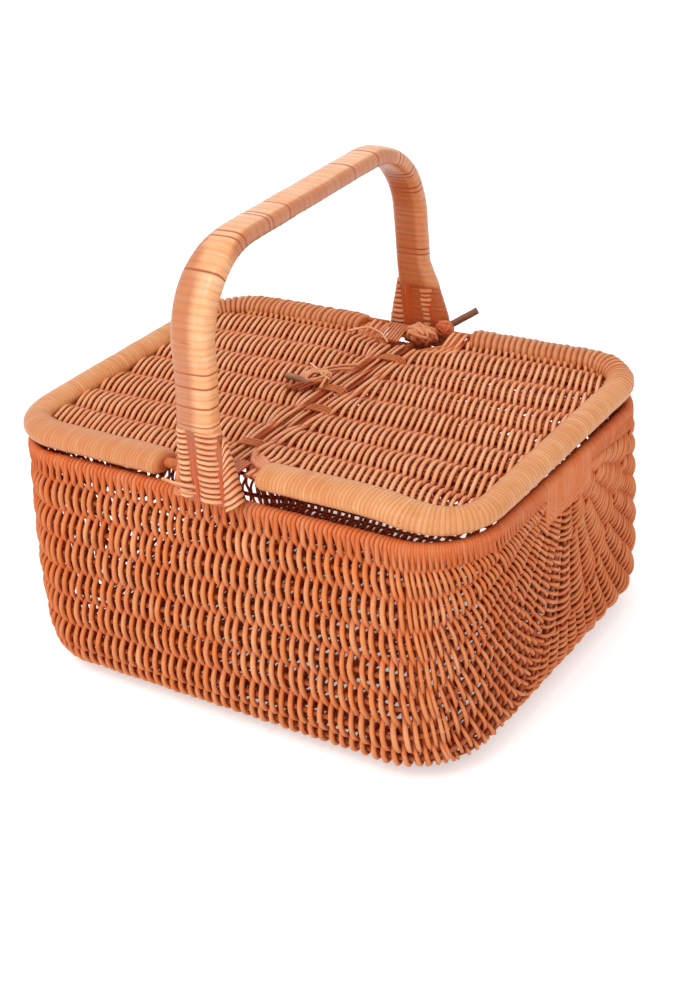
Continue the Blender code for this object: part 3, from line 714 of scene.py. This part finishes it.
# Lid flaps
lid = dict(
    borderWidth=0.027, shortWidth=0.0205, backWidth=0.0220, borderMiddle=0.1898,
    bow=0.008, bowRun=0.085, backLift=dict(left=0.0022, right=0.0042), hingeStraight=0.104, panelStart=0.0198,
    panelCut=1.4, weaverPitch=0.00275, weaverRadius=0.00160, firstWeaver=0.0100, lastWeaver=0.1815, swing=0.0030,
    ribCount=7, ribRadius=0.0020, ribAside=0.0044, ribStart=0.0115, ribLevel=0.1870,
    # The rows wander by two waves: size, rate and shift from row to row. A strand's shade has a
    # middle, a reach on its waves and a lowest value, on the flaps and on the bar.
    rowWander=((0.0024, 27, 1.7), (0.0013, 71, 2.9)), flapShade=(0.50, 0.70, -0.30), barShade=(0.42, 0.60, -0.2),
    # How much single strands differ, and the painted light that makes the right flap paler
    jitter=0.00022, levelSpread=0.0001, tintSpread=(0.18, 0.15), rightFlapPaintedLight=0.10, thickSpread=(0.93, 1.05),
    roundness=0.7, overFrame=0.0021, frameEnd=0.0155, frameRun=0.0045, tuck=0.004, cross=0.0055, seed=31,
    # Beside the feet the strands run on over the notches: where that starts and how far they
    # reach, for the left and the right flap. At the back they rise a little.
    overBack=((0.0290, 0.0470, 0.1335), (0.0300, 0.0470, 0.1335)),
    overFront=((0.0205, 0.0425, 0.1300), (0.0215, 0.0372, 0.1300)), notchRise=0.0065, notchEnd=0.048,
    notchRod=(0.1338, 0.1952),
)


def lidLift(side, x, y):
    x, y = np.abs(x), np.asarray(y, float)
    back = lid["backLift"]["left" if side < 0 else "right"] * rising(y, -0.02, 0.14)
    back = back * rising(x, 0.012, 0.05)
    if side < 0:
        return back
    away = body["halfLength"] - lid["borderWidth"] / 2 - x
    along = np.sin(smoothStep(away / lid["bowRun"]) * math.pi / 2)
    return back + lid["bow"] * along * smoothStep(-y / (body["halfDepth"] - lid["borderWidth"] / 2))


def borderPath(side, frontEnd, backEnd):
    inset = lid["borderWidth"] / 2
    radius, run = body["rimCorner"] - inset, body["halfDepth"] - inset
    x, y = body["halfLength"] - body["rimCorner"], body["halfDepth"] - body["rimCorner"]
    turn = np.linspace(-math.pi / 2, 0, 24)
    line = np.concatenate([
        columns(np.linspace(frontEnd, x, 30), -run)[:-1],
        columns(x + radius * np.cos(turn), -y + radius * np.sin(turn)),
        columns(x + radius * np.cos(turn + math.pi / 2), y + radius * np.sin(turn + math.pi / 2)),
        columns(np.linspace(x, backEnd, 30), run)[1:]])
    x, y = line[:, 0] * side, line[:, 1]
    return evenly(columns(x, y, lid["borderMiddle"] + lidLift(side, x, y)), 500)


def panelReach(x, width):
    # How far the panel reaches along y at a place x, towards a long border of the given width
    wide, deep = body["rimCorner"] - lid["shortWidth"], body["rimCorner"] - width
    past = np.clip((x - (body["halfLength"] - body["rimCorner"])) / wide, 0, 1)
    outer = body["halfDepth"] - body["rimCorner"] + deep * np.sqrt(1 - past * past)
    inner = lid["hingeStraight"] + np.maximum(x - lid["panelStart"], 0) / lid["panelCut"]
    return np.minimum(outer + lid["tuck"], inner)


def weaveLevel(x):
    # Near the hinge the weavers lie on the frame rod and wave less
    near = 1 - rising(np.abs(x), lid["frameEnd"], lid["frameRun"])
    return lid["ribLevel"] + lid["overFrame"] * near, lid["swing"] * mix(1, 0.42, near)


lidSpan = body["halfDepth"] - lid["borderWidth"]
rowStep = 2 * lidSpan / lid["ribCount"]
rowPlaces = rowStep * (np.arange(lid["ribCount"]) + 0.5) - lidSpan
# How boldly the strands wave over each row, the same on both flaps and on the bar
rowBold = np.random.default_rng(lid["seed"]).uniform(0.80, 1.10, lid["ribCount"] + 3)


def rowBend(number, x):
    # Rows wander alike on both flaps and on the strands over the bar, so they run through
    return sum(size * np.sin(x * rate + number * shift) for size, rate, shift in lid["rowWander"])


def lidStrand(side, x, low, high, way, chance, level=None, height=None, shade=None):
    # way: 1 or -1, over or under the first row. With a level given, a strand on the bar.
    y = np.linspace(low, high, max(int((high - low) / rowStep * 9), 10))
    shift = sum(rowBend(rib, side * x) * np.exp(-((y - place) / (rowStep * 0.5)) ** 2)
                for rib, place in enumerate(rowPlaces))
    row = (y - shift - rowPlaces[0]) / rowStep
    wave = np.cos(math.pi * row)
    swing = np.sign(wave) * np.abs(wave) ** lid["roundness"] * way
    # The strands on top all lean one way and those beneath the other way, but hardly beside the
    # hinge and over the notches
    cross = -way * lid["cross"] * triangle(row)
    if level is None:
        level, height = weaveLevel(x)
        cross = cross * mix(0.06, 1, rising(x, lid["firstWeaver"], 0.018))
        middle, reach, lowest = lid["flapShade"]
    else:
        cross = cross * 0.15
        middle, reach, lowest = lid["barShade"]
    cross = cross * (1 - rising(np.abs(y), 0.100, 0.010) * (x < lid["notchEnd"]))
    spots = np.arange(-1, lid["ribCount"] + 2)
    jitter = np.interp(row, spots, chance.normal(0, lid["jitter"], len(spots)))
    # Past the last rib all strands come to one level, side by side
    height = height * (1 - 0.85 * rising(np.abs(y), 0.108, 0.012) * (x < lid["notchEnd"]))
    rise = lid["notchRise"] * rising(y, 0.104, 0.030) * (1 - rising(x, 0.040, 0.012))
    level = level + height * swing * np.interp(row, spots, rowBold) + chance.normal(0, lid["levelSpread"])
    level = level + lidLift(side, x, y) + rise
    # Painted light: the right flap's strands get a higher tint, so they render paler
    tints = np.interp(row, spots, np.clip(chance.normal(0.5, lid["tintSpread"][0], len(spots)), 0, 1))
    return dict(points=columns(side * x + cross + jitter, y, level),
                size=chance.uniform(*lid["thickSpread"]) * (0.95 + 0.07 * swing),
                tint=np.clip(tints + chance.normal(lid["rightFlapPaintedLight"] if side > 0 else 0, lid["tintSpread"][1]), 0, 1),
                shade=np.clip(middle + reach * swing, lowest, 1) if shade is None else shade, along=y + x * 112)


def buildFlapWeave(side, chance):
    weavers, ribs = [], []
    for number, x in enumerate(np.arange(lid["firstWeaver"], lid["lastWeaver"], lid["weaverPitch"])):
        low, high = float(panelReach(x, lid["borderWidth"])), float(panelReach(x, lid["backWidth"]))
        first, last, reach = lid["overBack"][side > 0]
        high = reach if first < x < last else high
        first, last, reach = lid["overFront"][side > 0]
        low = reach if first < x < last else low
        weavers.append(lidStrand(side, x, -low, high, parity(number + (side > 0)), chance))
    for number, place in enumerate(rowPlaces):
        past = max(abs(place) - (body["halfDepth"] - body["rimCorner"]), 0)
        corner = body["rimCorner"] - lid["shortWidth"]
        end = body["halfLength"] - body["rimCorner"] + math.sqrt(max(corner ** 2 - past ** 2, 0)) + lid["tuck"]
        # Each rib is a rod with a thinner one on each side
        for aside, size in ((0.0, 1.0), (-lid["ribAside"], 0.75), (lid["ribAside"], 0.75)):
            x = np.linspace(lid["ribStart"], end - abs(aside), 50)
            y = place + rowBend(number, side * x) + aside
            ribs.append(dict(points=columns(side * x, y, lid["ribLevel"] + lidLift(side, x, y)), size=size,
                             tint=chance.uniform(0.2, 0.8), shade=0.4 if aside else 0.5, along=x + number + aside))
    return weavers, ribs


flapSides = dict(left=-1, right=1)
for word, side in flapSides.items():
    weavers, ribs = buildFlapWeave(side, np.random.default_rng(lid["seed"] + side))
    panel = rods(word + "LidWeave", weavers, "lid_willow", word + "_flap", radius=lid["weaverRadius"], sides=6,
                 wander=0.00015, wanderScale=80.0, seed=9)
    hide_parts(word + "_flap_panel")
    # A rod under the ends of the strands over the back notch
    x = np.linspace(*lid["overBack"][side > 0][:2], 12)
    ribs.append(dict(points=columns(side * x, *lid["notchRod"]), size=1.0, tint=0.6, shade=0.75, along=x))
    bars = rods(word + "LidRibs", ribs, "rib_willow", word + "_flap", radius=lid["ribRadius"], sides=7,
                wander=0.0003, wanderScale=40.0, seed=13)
    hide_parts(*[f"{word}_lid_rib_{number}" for number in range(1, 8)])

# The centre bar, thinner than the lid, with four strands on it that carry the rows from flap to
# flap. Beside the feet more strands stay with the bar: their side, first and last place along x,
# ends along y, level and shade. A rod lies under those at the back.
bar = dict(
    radius=0.0033, level=0.1853, halfLength=0.136, seed=35,
    strands=((0.0014, 0.18995), (0.0040, 0.1884)), strandEnds=(-0.106, 0.108), swing=0.0008, strandRadius=0.00125,
    notches=((-1, 0.0088, 0.0270, 0.1120, 0.1330, 0.1895, 0.7), (1, 0.0070, 0.0190, -0.1335, -0.1135, 0.1880, 0.35)),
    notchSwing=0.0003, notchRod=((-0.0275, 0.004), 0.1325, 0.1940), notchRodSize=1.4,
)
barLine = columns(0.0, np.linspace(-bar["halfLength"], bar["halfLength"], 60), bar["level"])
barRods = [dict(points=barLine, size=1.0, tint=0.3, shade=0.6, along=barLine[:, 1])]
centreBar = rods("centreBar", barRods, "rib_willow", "basket", radius=bar["radius"], sides=8,
                 wander=0.0003, wanderScale=30.0, seed=14)
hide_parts("centre_bar")
chance = np.random.default_rng(bar["seed"])
strands = []
for side in (-1, 1):
    for number, (x, level) in enumerate(bar["strands"]):
        strand = lidStrand(side, x, *bar["strandEnds"], parity(number + (side < 0)), chance, level, bar["swing"])
        strand["points"][:, 2] -= lidLift(side, x, strand["points"][:, 1])
        strands.append(strand)
for side, first, last, low, high, level, shade in bar["notches"]:
    for x in np.arange(first, last, lid["weaverPitch"]):
        strands.append(lidStrand(side, x, low, high, 1, chance, level, bar["notchSwing"], shade))
x = np.linspace(*bar["notchRod"][0], 12)
strands.append(dict(points=columns(x, *bar["notchRod"][1:]), size=bar["notchRodSize"], tint=0.5, shade=0.6, along=x))
rods("barWeave", strands, "lid_willow", "basket", radius=bar["strandRadius"], sides=6,
     wander=0.0001, wanderScale=80.0, seed=16)

border = dict(
    halfHeight=0.0085, endRound=0.007, frontEnd=dict(left=0.0445, right=0.0375), backEnd=0.0485, leftFrontShade=0.74,
    # Each for the fine turns and for the coarse ones of the back
    pitch=(0.0030, 0.0052), ridge=(0.00016, 0.0021), slant=(0.0006, -0.0018), seed=41,
)
for word, side in flapSides.items():
    path = borderPath(side, border["frontEnd"][word], border["backEnd"])
    # The band is widest along the front; its outer edge stays and its inner edge gives
    onBack = rising(path[:, 1], 0.085, 0.035)
    onShort = rising(np.abs(path[:, 0]), 0.145, 0.035) * smoothStep((0.137 - np.abs(path[:, 1])) / 0.03)
    half = mix(mix(lid["borderWidth"], lid["backWidth"], onBack), lid["shortWidth"], onShort) / 2
    way = tangents(path)
    aside = unit(columns(way[:, 1], -way[:, 0], 0.0) * side)
    path = path + aside * (lid["borderWidth"] / 2 - half)[:, None]
    places = lengthsAlong(path)

    def ended(spots):
        near = np.clip(np.minimum(spots, places[-1] - spots) / border["endRound"], 0, 1)
        return np.sqrt(np.clip(1 - (1 - near) ** 2, 0.0, 1)) * 0.75 + 0.25

    ends = (border["pitch"], border["ridge"], (border["slant"][0], border["slant"][1] * side))
    pitch, ridge, slant = [reader(places, mix(fine, coarse, onBack)) for fine, coarse in ends]
    line = woundLine(path, lambda spots: reader(places, half)(spots) * ended(spots),
                     lambda spots: border["halfHeight"] * ended(spots), pitch, ridge,
                     np.random.default_rng(border["seed"] + side), slant=slant, tintSpread=0.15, low=0.55)
    # Painted shade: between the coarse turns of the back the grooves are dark, and the cut ends are darker than the
    # band
    spots = line["along"]
    line["shade"] = mix(line["shade"], line["shade"] * 3.2 - 2.4, reader(places, onBack)(spots))
    line["shade"] = line["shade"] * smoothStep(np.minimum(spots, places[-1] - spots) / 0.004 + 0.15)
    # Painted shade: the front run of the left border is darker
    if word == "left":
        paler = rising(path[:, 1], -0.125, 0.03)
        line["shade"] = line["shade"] * reader(places, mix(border["leftFrontShade"], 1.0, paler))(spots)
    wound = roll(word + "Border", line, "border_willow", word + "_flap", sides=18, square=1.0, edge=0.0,
                 wander=0.0006, wanderScale=40.0, seed=15)
    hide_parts(word + "_flap_border")
print("stage: lid flaps")

# Handle. The band's half width, half thickness, way off the middle line and pitch are given for
# its top, its front leg and its back leg.
handle = dict(
    span=0.282, bend=0.058, strapLevel=0.3451, frontFoot=-0.002, frontShoulder=0.009,
    backShoulder=-0.007, backFoot=-0.006, footBottom=0.1755, low=0.1790,
    width=(0.0133, 0.0155, 0.0140), thick=(0.0066, 0.0080, 0.0064), out=(0.0017, 0.0030, 0.0017),
    pitch=(0.0066, 0.0048, 0.0048),
    frontLeft=0.0010, ridge=0.00018, square=0.62, rodAside=0.0085, rodRadius=0.0034, seed=51,
    # Under the sleeve: levels, what the half width gains there and how far the middle moves along
    # x, the sleeve's top, and the half thickness of the leg in it
    front=dict(levels=(0.184, 0.2215, 0.2345), gain=(0.0040, 0.0036, 0.0), shift=(0.0080, 0.0034, 0.0),
               sleeve=0.2325, core=0.0056),
    back=dict(levels=(0.184, 0.2059, 0.2259, 0.2479), gain=(0.0085, 0.0068, 0.0039, 0.0),
              shift=(0.0080, 0.0065, 0.0038, 0.0), sleeve=0.2285, core=0.0042),
    # The back leg's share of shade and tint; how often the groove between two turns gets a dark painted shade, and how
    # dark it is
    backShade=0.58, backTint=0.5, darkGrooveShare=0.22, darkGrooveShade=-0.35, coreShade=0.08, frontHighlightShift=0.74, backHighlightShift=0.95,
)


def handleX(y, z):
    shoulder = np.where(y < 0, handle["frontShoulder"], handle["backShoulder"])
    footX = np.where(y < 0, handle["frontFoot"], handle["backFoot"])
    top = mix(handle["frontShoulder"], handle["backShoulder"], 0.5 + y / handle["span"])
    rise = rising(z, handle["footBottom"], handle["strapLevel"] - handle["footBottom"])
    return mix(mix(footX, shoulder, rise), top, rise)


def strapPath(low, count=400):
    flat, reach = handle["span"] / 2 - handle["bend"], handle["span"] / 2
    centre = handle["strapLevel"] - handle["bend"]
    turn = np.linspace(math.pi, math.pi / 2, 24)
    front = np.concatenate([columns(-reach, np.linspace(low, centre, 20))[:-1],
                            columns(-flat + handle["bend"] * np.cos(turn), centre + handle["bend"] * np.sin(turn))])
    y, z = np.concatenate([front, front[::-1] * (-1, 1)]).T
    return evenly(columns(handleX(y, z), y, z), count)


chance = np.random.default_rng(handle["seed"])
strap = strapPath(handle["low"])
onFront = rising(-strap[:, 1], 0.085, 0.05)
onBack = rising(strap[:, 1], 0.085, 0.05)


def bandSize(word):
    top, front, back = handle[word]
    return mix(mix(top, front, onFront), back, onBack)


outWay = unit(np.cross(tangents(strap), (-1.0, 0, 0)))
strap = strap + outWay * bandSize("out")[:, None] - np.outer(onFront, (handle["frontLeft"], 0, 0))
strapSpots = lengthsAlong(strap)
flare, onCore = np.zeros(len(strap)), np.zeros(len(strap))
for leg, share in ((handle["front"], onFront), (handle["back"], onBack)):
    flare += share * np.interp(strap[:, 2], leg["levels"], leg["gain"])
    strap[:, 0] += share * np.interp(strap[:, 2], leg["levels"], leg["shift"])
    onCore += share * smoothStep((leg["sleeve"] + 0.001 - strap[:, 2]) / 0.002)


thinner = mix(handle["thick"][1] - handle["front"]["core"], handle["thick"][2] - handle["back"]["core"], onBack)
strapLine = woundLine(
    strap, reader(strapSpots, bandSize("width") + flare), reader(strapSpots, bandSize("thick") - onCore * thinner),
    reader(strapSpots, bandSize("pitch")), handle["ridge"], chance,
    wideWay=(1, 0, 0), tintSpread=0.16, low=0.74, uneven=0.3)
# The back leg is darker and a stronger orange, by a lower tint and a lower shade
spots, perTurn = strapLine["along"], len(turnPhases)
back = reader(strapSpots, onBack)(spots)
strapLine["tint"] = strapLine["tint"] * mix(1.0, handle["backTint"], back)
shade = strapLine["shade"] * mix(1.0, handle["backShade"], back)
# Here and there the groove between two turns gets a dark painted shade
darkGrooves = chance.uniform(0, 1, len(spots) // perTurn + 1) < handle["darkGrooveShare"]
atDarkGroove = np.repeat(darkGrooves, perTurn)[: len(spots)] & (np.arange(len(spots)) % perTurn == 0)
# Under the sleeve the rods of the leg are bare and smooth: one low shade, with no painted grooves, makes them darker
# and a stronger red
shade = np.where(atDarkGroove, handle["darkGrooveShade"], shade)
strapLine["shade"] = mix(shade, handle["coreShade"], reader(strapSpots, onCore)(spots))
# Painted highlight: the bright band of each leg lies towards the right flap, and the rest of its width takes painted
# shade
strapLine["shift"] = reader(strapSpots, handle["frontHighlightShift"] * onFront + handle["backHighlightShift"] * onBack)(spots)
handleWrap = roll("handleWrap", strapLine, "handle_skein", "basket", sides=24, square=handle["square"], edge=0.75,
                  wander=0.0006, wanderScale=30.0, seed=17)
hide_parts("handle_wrap")
inner = [dict(points=strap + np.outer(place * (handle["rodAside"] + flare * 0.6), (1.0, 0, 0)), size=1.0, tint=0.4,
              shade=0.6, along=strapSpots + place) for place in (-1, 0, 1)]
handleRods = rods("handleRods", inner, "rib_willow", "basket", radius=handle["rodRadius"], sides=8,
                  wander=0.0, wanderScale=30.0, seed=18)
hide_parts("handle_rod_1", "handle_rod_2", "handle_rod_3")

# The feet: wound columns with bare rods between them. A column is its place across the leg at the
# base and at the top, its half widths there, its top and its slant; a rod is its places, its radii
# and how far it stands out.
# The front foot's raised tint brings its turns near lashing_cane's pale, a painted highlight. The back foot is darker
# by its lower shade, and the long bare rods by their low shade.
feet = dict(
    front=dict(sign=-1, baseY=0.1462, topY=0.1446, thick=(0.0064, 0.0064), shade=1.0, tint=0.35,
               columns=((-0.0112, -0.0086, 0.0066, 0.0056, 0.2335, 0.0),
                        (0.0093, 0.0100, 0.0110, 0.0104, 0.2335, 0.0006),
                        (0.0268, 0.0228, 0.0078, 0.0012, 0.2260, 0.0046)),
               rods=((-0.0024, -0.0010, 0.0030, 0.0024, 0.0022), (0.0206, 0.0140, 0.0032, 0.0026, 0.0010),
                     (-0.0205, -0.0185, 0.0048, 0.0010, 0.0000))),
    back=dict(sign=1, baseY=0.1452, topY=0.1430, thick=(0.0064, 0.0060), shade=0.8, tint=0.1,
              columns=((-0.0250, -0.0215, 0.0122, 0.0014, 0.2318, 0.0),
                       (0.0036, 0.0042, 0.0076, 0.0072, 0.2275, 0.0006)),
              rods=((-0.0125, -0.0110, 0.0050, 0.0045, -0.0020), (0.0150, 0.0020, 0.0046, 0.0030, -0.0022),
                    (0.0200, 0.0060, 0.0030, 0.0020, -0.0024))),
    base=0.1812, tip=0.002, tipThick=0.0024, pitch=0.0041, ridge=0.0016,
    rodHeight=0.0545, shortRod=0.45, shortTip=0.0015, rodRadius=0.003, seed=61,
)
rise = np.linspace(0, 1, 60)
for word in ("front", "back"):
    foot = feet[word]
    chance = np.random.default_rng(feet["seed"] + foot["sign"])
    for number, (low, high, wideLow, wideHigh, top, slope) in enumerate(foot["columns"]):
        line = columns(mix(low, high, rise), foot["sign"] * mix(foot["baseY"], foot["topY"], rise),
                       mix(feet["base"] - 0.001 * number, top, rise))
        length = lengthsAlong(line)[-1]
        thickLow, thickHigh = foot["thick"]
        thickHigh = feet["tipThick"] if wideHigh < feet["tip"] else thickHigh
        wound = woundLine(line, lambda spots: mix(wideLow, wideHigh, spots / length),
                          lambda spots: mix(thickLow, thickHigh, (spots / length) ** 2), feet["pitch"],
                          lambda spots: feet["ridge"] * mix(1.0, min(wideHigh / 0.004, 1.0), spots / length),
                          chance, slant=slope, wideWay=(1, 0, 0), low=-0.9, uneven=0.15)
        # Painted highlight and shade: the foot's shade and tint shift the colour of its turns
        wound["shade"] *= foot["shade"]
        wound["tint"] = np.clip(wound["tint"] + foot["tint"], 0, 1)
        piece = roll(f"{word}FootTurns{number + 1}", wound, "lashing_cane", "basket", sides=14, square=0.85, edge=0.2,
                     wander=0.0004, wanderScale=90.0, seed=19 + number)
        if number == 1:
            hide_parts(word + "_lashing")
    bare = []
    for low, high, wideLow, wideHigh, proud in foot["rods"]:
        short = wideHigh < feet["shortTip"]
        line = columns(mix(low, high, rise), foot["sign"] * (mix(foot["baseY"], foot["topY"], rise) + proud),
                       feet["base"] - 0.001 + rise * (feet["shortRod"] if short else 1.0) * feet["rodHeight"])
        bare.append(dict(points=line, size=mix(wideLow, wideHigh, rise) / feet["rodRadius"], tint=0.15,
                         shade=0.6 if short else 0.10, out=(0.3, foot["sign"], 0.0), along=line[:, 2]))
    piece = rods(word + "FootRods", bare, "lashing_cane", "basket", radius=feet["rodRadius"], sides=9,
                 wander=0.0004, wanderScale=50.0, seed=23)
    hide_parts(word + "_left_stake", word + "_right_stake")


# Loose ends, knots and twigs. Each is a few places that a smooth line runs through.
def curve(*places, count=26):
    line = evenly(np.array(places, float), count)
    return softened(line, max(count // (2 * len(places)), 2))


def tied(name, curves, radius, finish, part, shade, tint, seed, taper=0.0, sides=7):
    chance = np.random.default_rng(seed)
    lines = []
    for line in curves:
        size = chance.uniform(0.85, 1.1) * (1 - taper * np.linspace(0, 1, len(line)))
        lines.append(dict(
            points=line, size=size, tint=np.clip(tint + chance.normal(0, 0.2), 0, 1),
            shade=np.clip(shade + chance.normal(0, 0.12), 0, 1), along=lengthsAlong(line) + chance.uniform(0, 9)))
    return rods(name, lines, finish, part, radius=radius, sides=sides, wander=0.0003, wanderScale=90.0, seed=seed)


def tangle(middle, reach, count, seed):
    # Loops of cane wound round one place in different planes
    chance = np.random.default_rng(seed)
    found = []
    for number in range(count):
        one = unit(chance.normal(0, 1, 3))
        two = unit(np.cross(one, chance.normal(0, 1, 3)))
        turn = np.linspace(0, 2 * math.pi * chance.uniform(0.75, 1.0), 30) + chance.uniform(0, 6)
        size = chance.uniform(0.75, 1.0)
        loop = np.outer(np.cos(turn), one) + np.outer(np.sin(turn), two) * 0.85
        found.append(np.array(middle) + loop * size * reach)
    return found


tied("backKnot", tangle((0.0078, 0.1245, 0.1950), (0.0140, 0.0090, 0.0082), 14, 5),
     0.0016, "lashing_cane", "basket", 0.80, 0.75, 71)
# The knot's core lies low under the loops; its dark finish and low shade are partly its own colour, partly painted
# shade
tied("backKnotCore", tangle((0.0078, 0.1262, 0.1915), (0.0105, 0.0070, 0.0060), 8, 15),
     0.0030, "rib_willow", "basket", 0.4, 0.3, 81)
tied("backKnotAside", tangle((0.0212, 0.1368, 0.1965), (0.0080, 0.0048, 0.0068), 11, 6),
     0.0018, "lashing_cane", "basket", 0.30, 0.3, 72)
tied("baseStrands", [
    curve((-0.0355, -0.1450, 0.1868), (-0.0200, -0.1525, 0.1912), (-0.0060, -0.1535, 0.1918),
          (-0.0020, -0.1500, 0.1905)),
    curve((-0.0240, -0.1440, 0.1820), (-0.0150, -0.1520, 0.1855), (-0.0060, -0.1530, 0.1862),
          (-0.0010, -0.1490, 0.1855)),
], 0.0013, "lashing_cane", "basket", 0.9, 0.7, 73)
tied("cornerStrands", [
    curve((0.0120, -0.1000, 0.1925 + lift), (0.0180, -0.1075 - lift, 0.1955), (0.0300, -0.1160 - lift, 0.1975),
          (0.0400, -0.1225, 0.1985)) for lift in (-0.004, 0.000, 0.004)
] + [curve((0.0120, -0.1010, 0.1890), (0.0200, -0.1170, 0.1905), (0.0400, -0.1290, 0.1950))],
    0.0024, "lid_willow", "right_flap", 0.6, 0.4, 74)
knotTwig = tied("knotTwig", [
    curve((-0.0420, 0.0430, 0.1945), (-0.0330, 0.0350, 0.1972), (-0.0190, 0.0240, 0.1982), (-0.0090, 0.0205, 0.1965)),
], 0.0011, "lashing_cane", "left_flap", 1.0, 0.95, 75, taper=0.3)
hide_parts("middle_tie_twig")
tied("knotLoops", tangle((-0.0228, 0.0235, 0.1962), (0.0125, 0.0110, 0.0028), 11, 8) + [
    curve((-0.0300, 0.0380, 0.1935), (-0.0200, 0.0480, 0.1945), (-0.0090, 0.0570, 0.1935)),
    curve((-0.0260, 0.0340, 0.1935), (-0.0160, 0.0430, 0.1945), (-0.0088, 0.0490, 0.1935)),
    curve((-0.0150, 0.0300, 0.1950), (-0.0120, 0.0200, 0.1972), (-0.0092, 0.0080, 0.1945)),
], 0.0012, "lashing_cane", "left_flap", 0.75, 0.6, 76)
tied("knotShadow", [
    curve((-0.0340 + step, step * 0.2, 0.1930), (-0.0270 + step, 0.0110, 0.1950), (-0.0200 + step, 0.0210, 0.1950))
    for step in (0.0, 0.0045, 0.0090)], 0.0012, "rib_willow", "left_flap", 0.4, 0.2, 77)
knotButt = tied("knotButt", [
    curve((-0.0450, 0.0160, 0.1950), (-0.0380, 0.0150, 0.1958), (-0.0290, 0.0135, 0.1955), (-0.0220, 0.0125, 0.1940)),
], 0.0027, "bark_twig", "left_flap", 1.0, 0.7, 78)
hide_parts("middle_tie_butt")
backTwig = tied("backTwig", [
    curve((-0.0500, 0.1080, 0.1950), (-0.0380, 0.1165, 0.1972), (-0.0220, 0.1120, 0.1965), (-0.0100, 0.1025, 0.1940)),
], 0.0010, "lashing_cane", "left_flap", 1.0, 0.95, 79, taper=0.3)
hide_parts("back_tie_twig")
stick = tied("backStick", [
    curve((0.0235, 0.1392, 0.1985), (0.0300, 0.1420, 0.2022), (0.0370, 0.1458, 0.2064), (0.0440, 0.1500, 0.2105)),
], 0.0025, "bark_twig", "basket", 0.45, 0.3, 82, sides=9)
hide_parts("back_tie_stick")
print("stage: handle")

# The solids that still show, the flaps' frames and ties, take a finish of the same family
solidWillow = willow("rib_willow_solid", finishes["rib_willow"], True)
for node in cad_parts.values():
    if not node.hide_render:
        node.data.materials.clear()
        node.data.materials.append(solidWillow)
print("stage: solids dressed")

# Floor, light and camera
studio = dict(
    floorRadius=8.0, floorLevel=-0.0006, paper=0.90, paperGlow=0.42, worldStrength=0.90,
    lamps=(("keyLamp", (0.10, -1.25, 2.0), (0, 0, 0.12), 0.9, 13.8),
           ("fillLamp", (0.35, -1.9, 0.6), (0, 0, 0.10), 1.2, 4.5)),
)


def flatDisc(name, radius, level):
    turns = np.linspace(0, 2 * math.pi, 65)[:-1]
    mesh = bpy.data.meshes.new(name)
    mesh.from_pydata([(radius * math.cos(t), radius * math.sin(t), level) for t in turns], [], [list(range(64))])
    return placed(name, mesh)


def seenDirectly(graph):
    # 1 for the rays that look at a thing, by eye, in a gloss or through an opening
    words = [f"Is {word} Ray" for word in ("Camera", "Glossy", "Transmission")]
    camera, glossy, through = graph.outputs("ShaderNodeLightPath", *words)
    return camera.maths("MAXIMUM", glossy).maths("MAXIMUM", through)


# Pale paper; the rays that see it get a little added, so it reads white where nothing shades it
paper, graph = freshMaterial("studioPaper")
plain = graph.add("ShaderNodeBsdfDiffuse", {"Color": (studio["paper"], studio["paper"], studio["paper"], 1)})
strength = seenDirectly(graph) * studio["paperGlow"]
glow = graph.add("ShaderNodeEmission", {"Color": (1, 1, 1, 1), "Strength": strength})
graph.add("ShaderNodeOutputMaterial", {"Surface": graph.add("ShaderNodeAddShader", {0: plain, 1: glow})})
floor = flatDisc("studioFloor", studio["floorRadius"], studio["floorLevel"])
floor.data.materials.append(paper)

world = bpy.data.worlds.new("studioWorld")
bpy.context.scene.world = world
world.use_nodes = True
world.node_tree.nodes.clear()
graph = Graph(world.node_tree)
strength = mix(studio["worldStrength"], 1.0, seenDirectly(graph))
sky = graph.add("ShaderNodeBackground", {"Color": (1, 1, 1, 1), "Strength": strength})
graph.add("ShaderNodeOutputWorld", {"Surface": sky})

for name, place, aim, size, power in studio["lamps"]:
    lampData = bpy.data.lights.new(name, "AREA")
    lampData.shape, lampData.size, lampData.energy = "DISK", size, power
    lamp = placed(name, lampData)
    lamp.location = place
    lamp.rotation_euler = (Vector(aim) - Vector(place)).to_track_quat("-Z", "Y").to_euler()

view = dict(place=(0.65324, -0.87590, 0.68923), right=(0.82717, 0.55537, -0.08573), up=(-0.20057, 0.43429, 0.87816),
            forward=(-0.52493, 0.70920, -0.47062), focalPixels=1637.9, imageHeight=1000, sensor=36.0)
cameraData = bpy.data.cameras.new("camera")
camera = placed("camera", cameraData)
turn = Matrix((view["right"], view["up"], [-value for value in view["forward"]])).transposed()
camera.matrix_world = Matrix.Translation(view["place"]) @ turn.to_4x4()
cameraData.sensor_width = view["sensor"]
cameraData.lens = view["focalPixels"] * view["sensor"] / view["imageHeight"]
cameraData.clip_start, cameraData.clip_end = 0.01, 50
bpy.context.scene.camera = camera
bpy.context.scene.view_settings.view_transform = "Standard"
print("stage: studio")
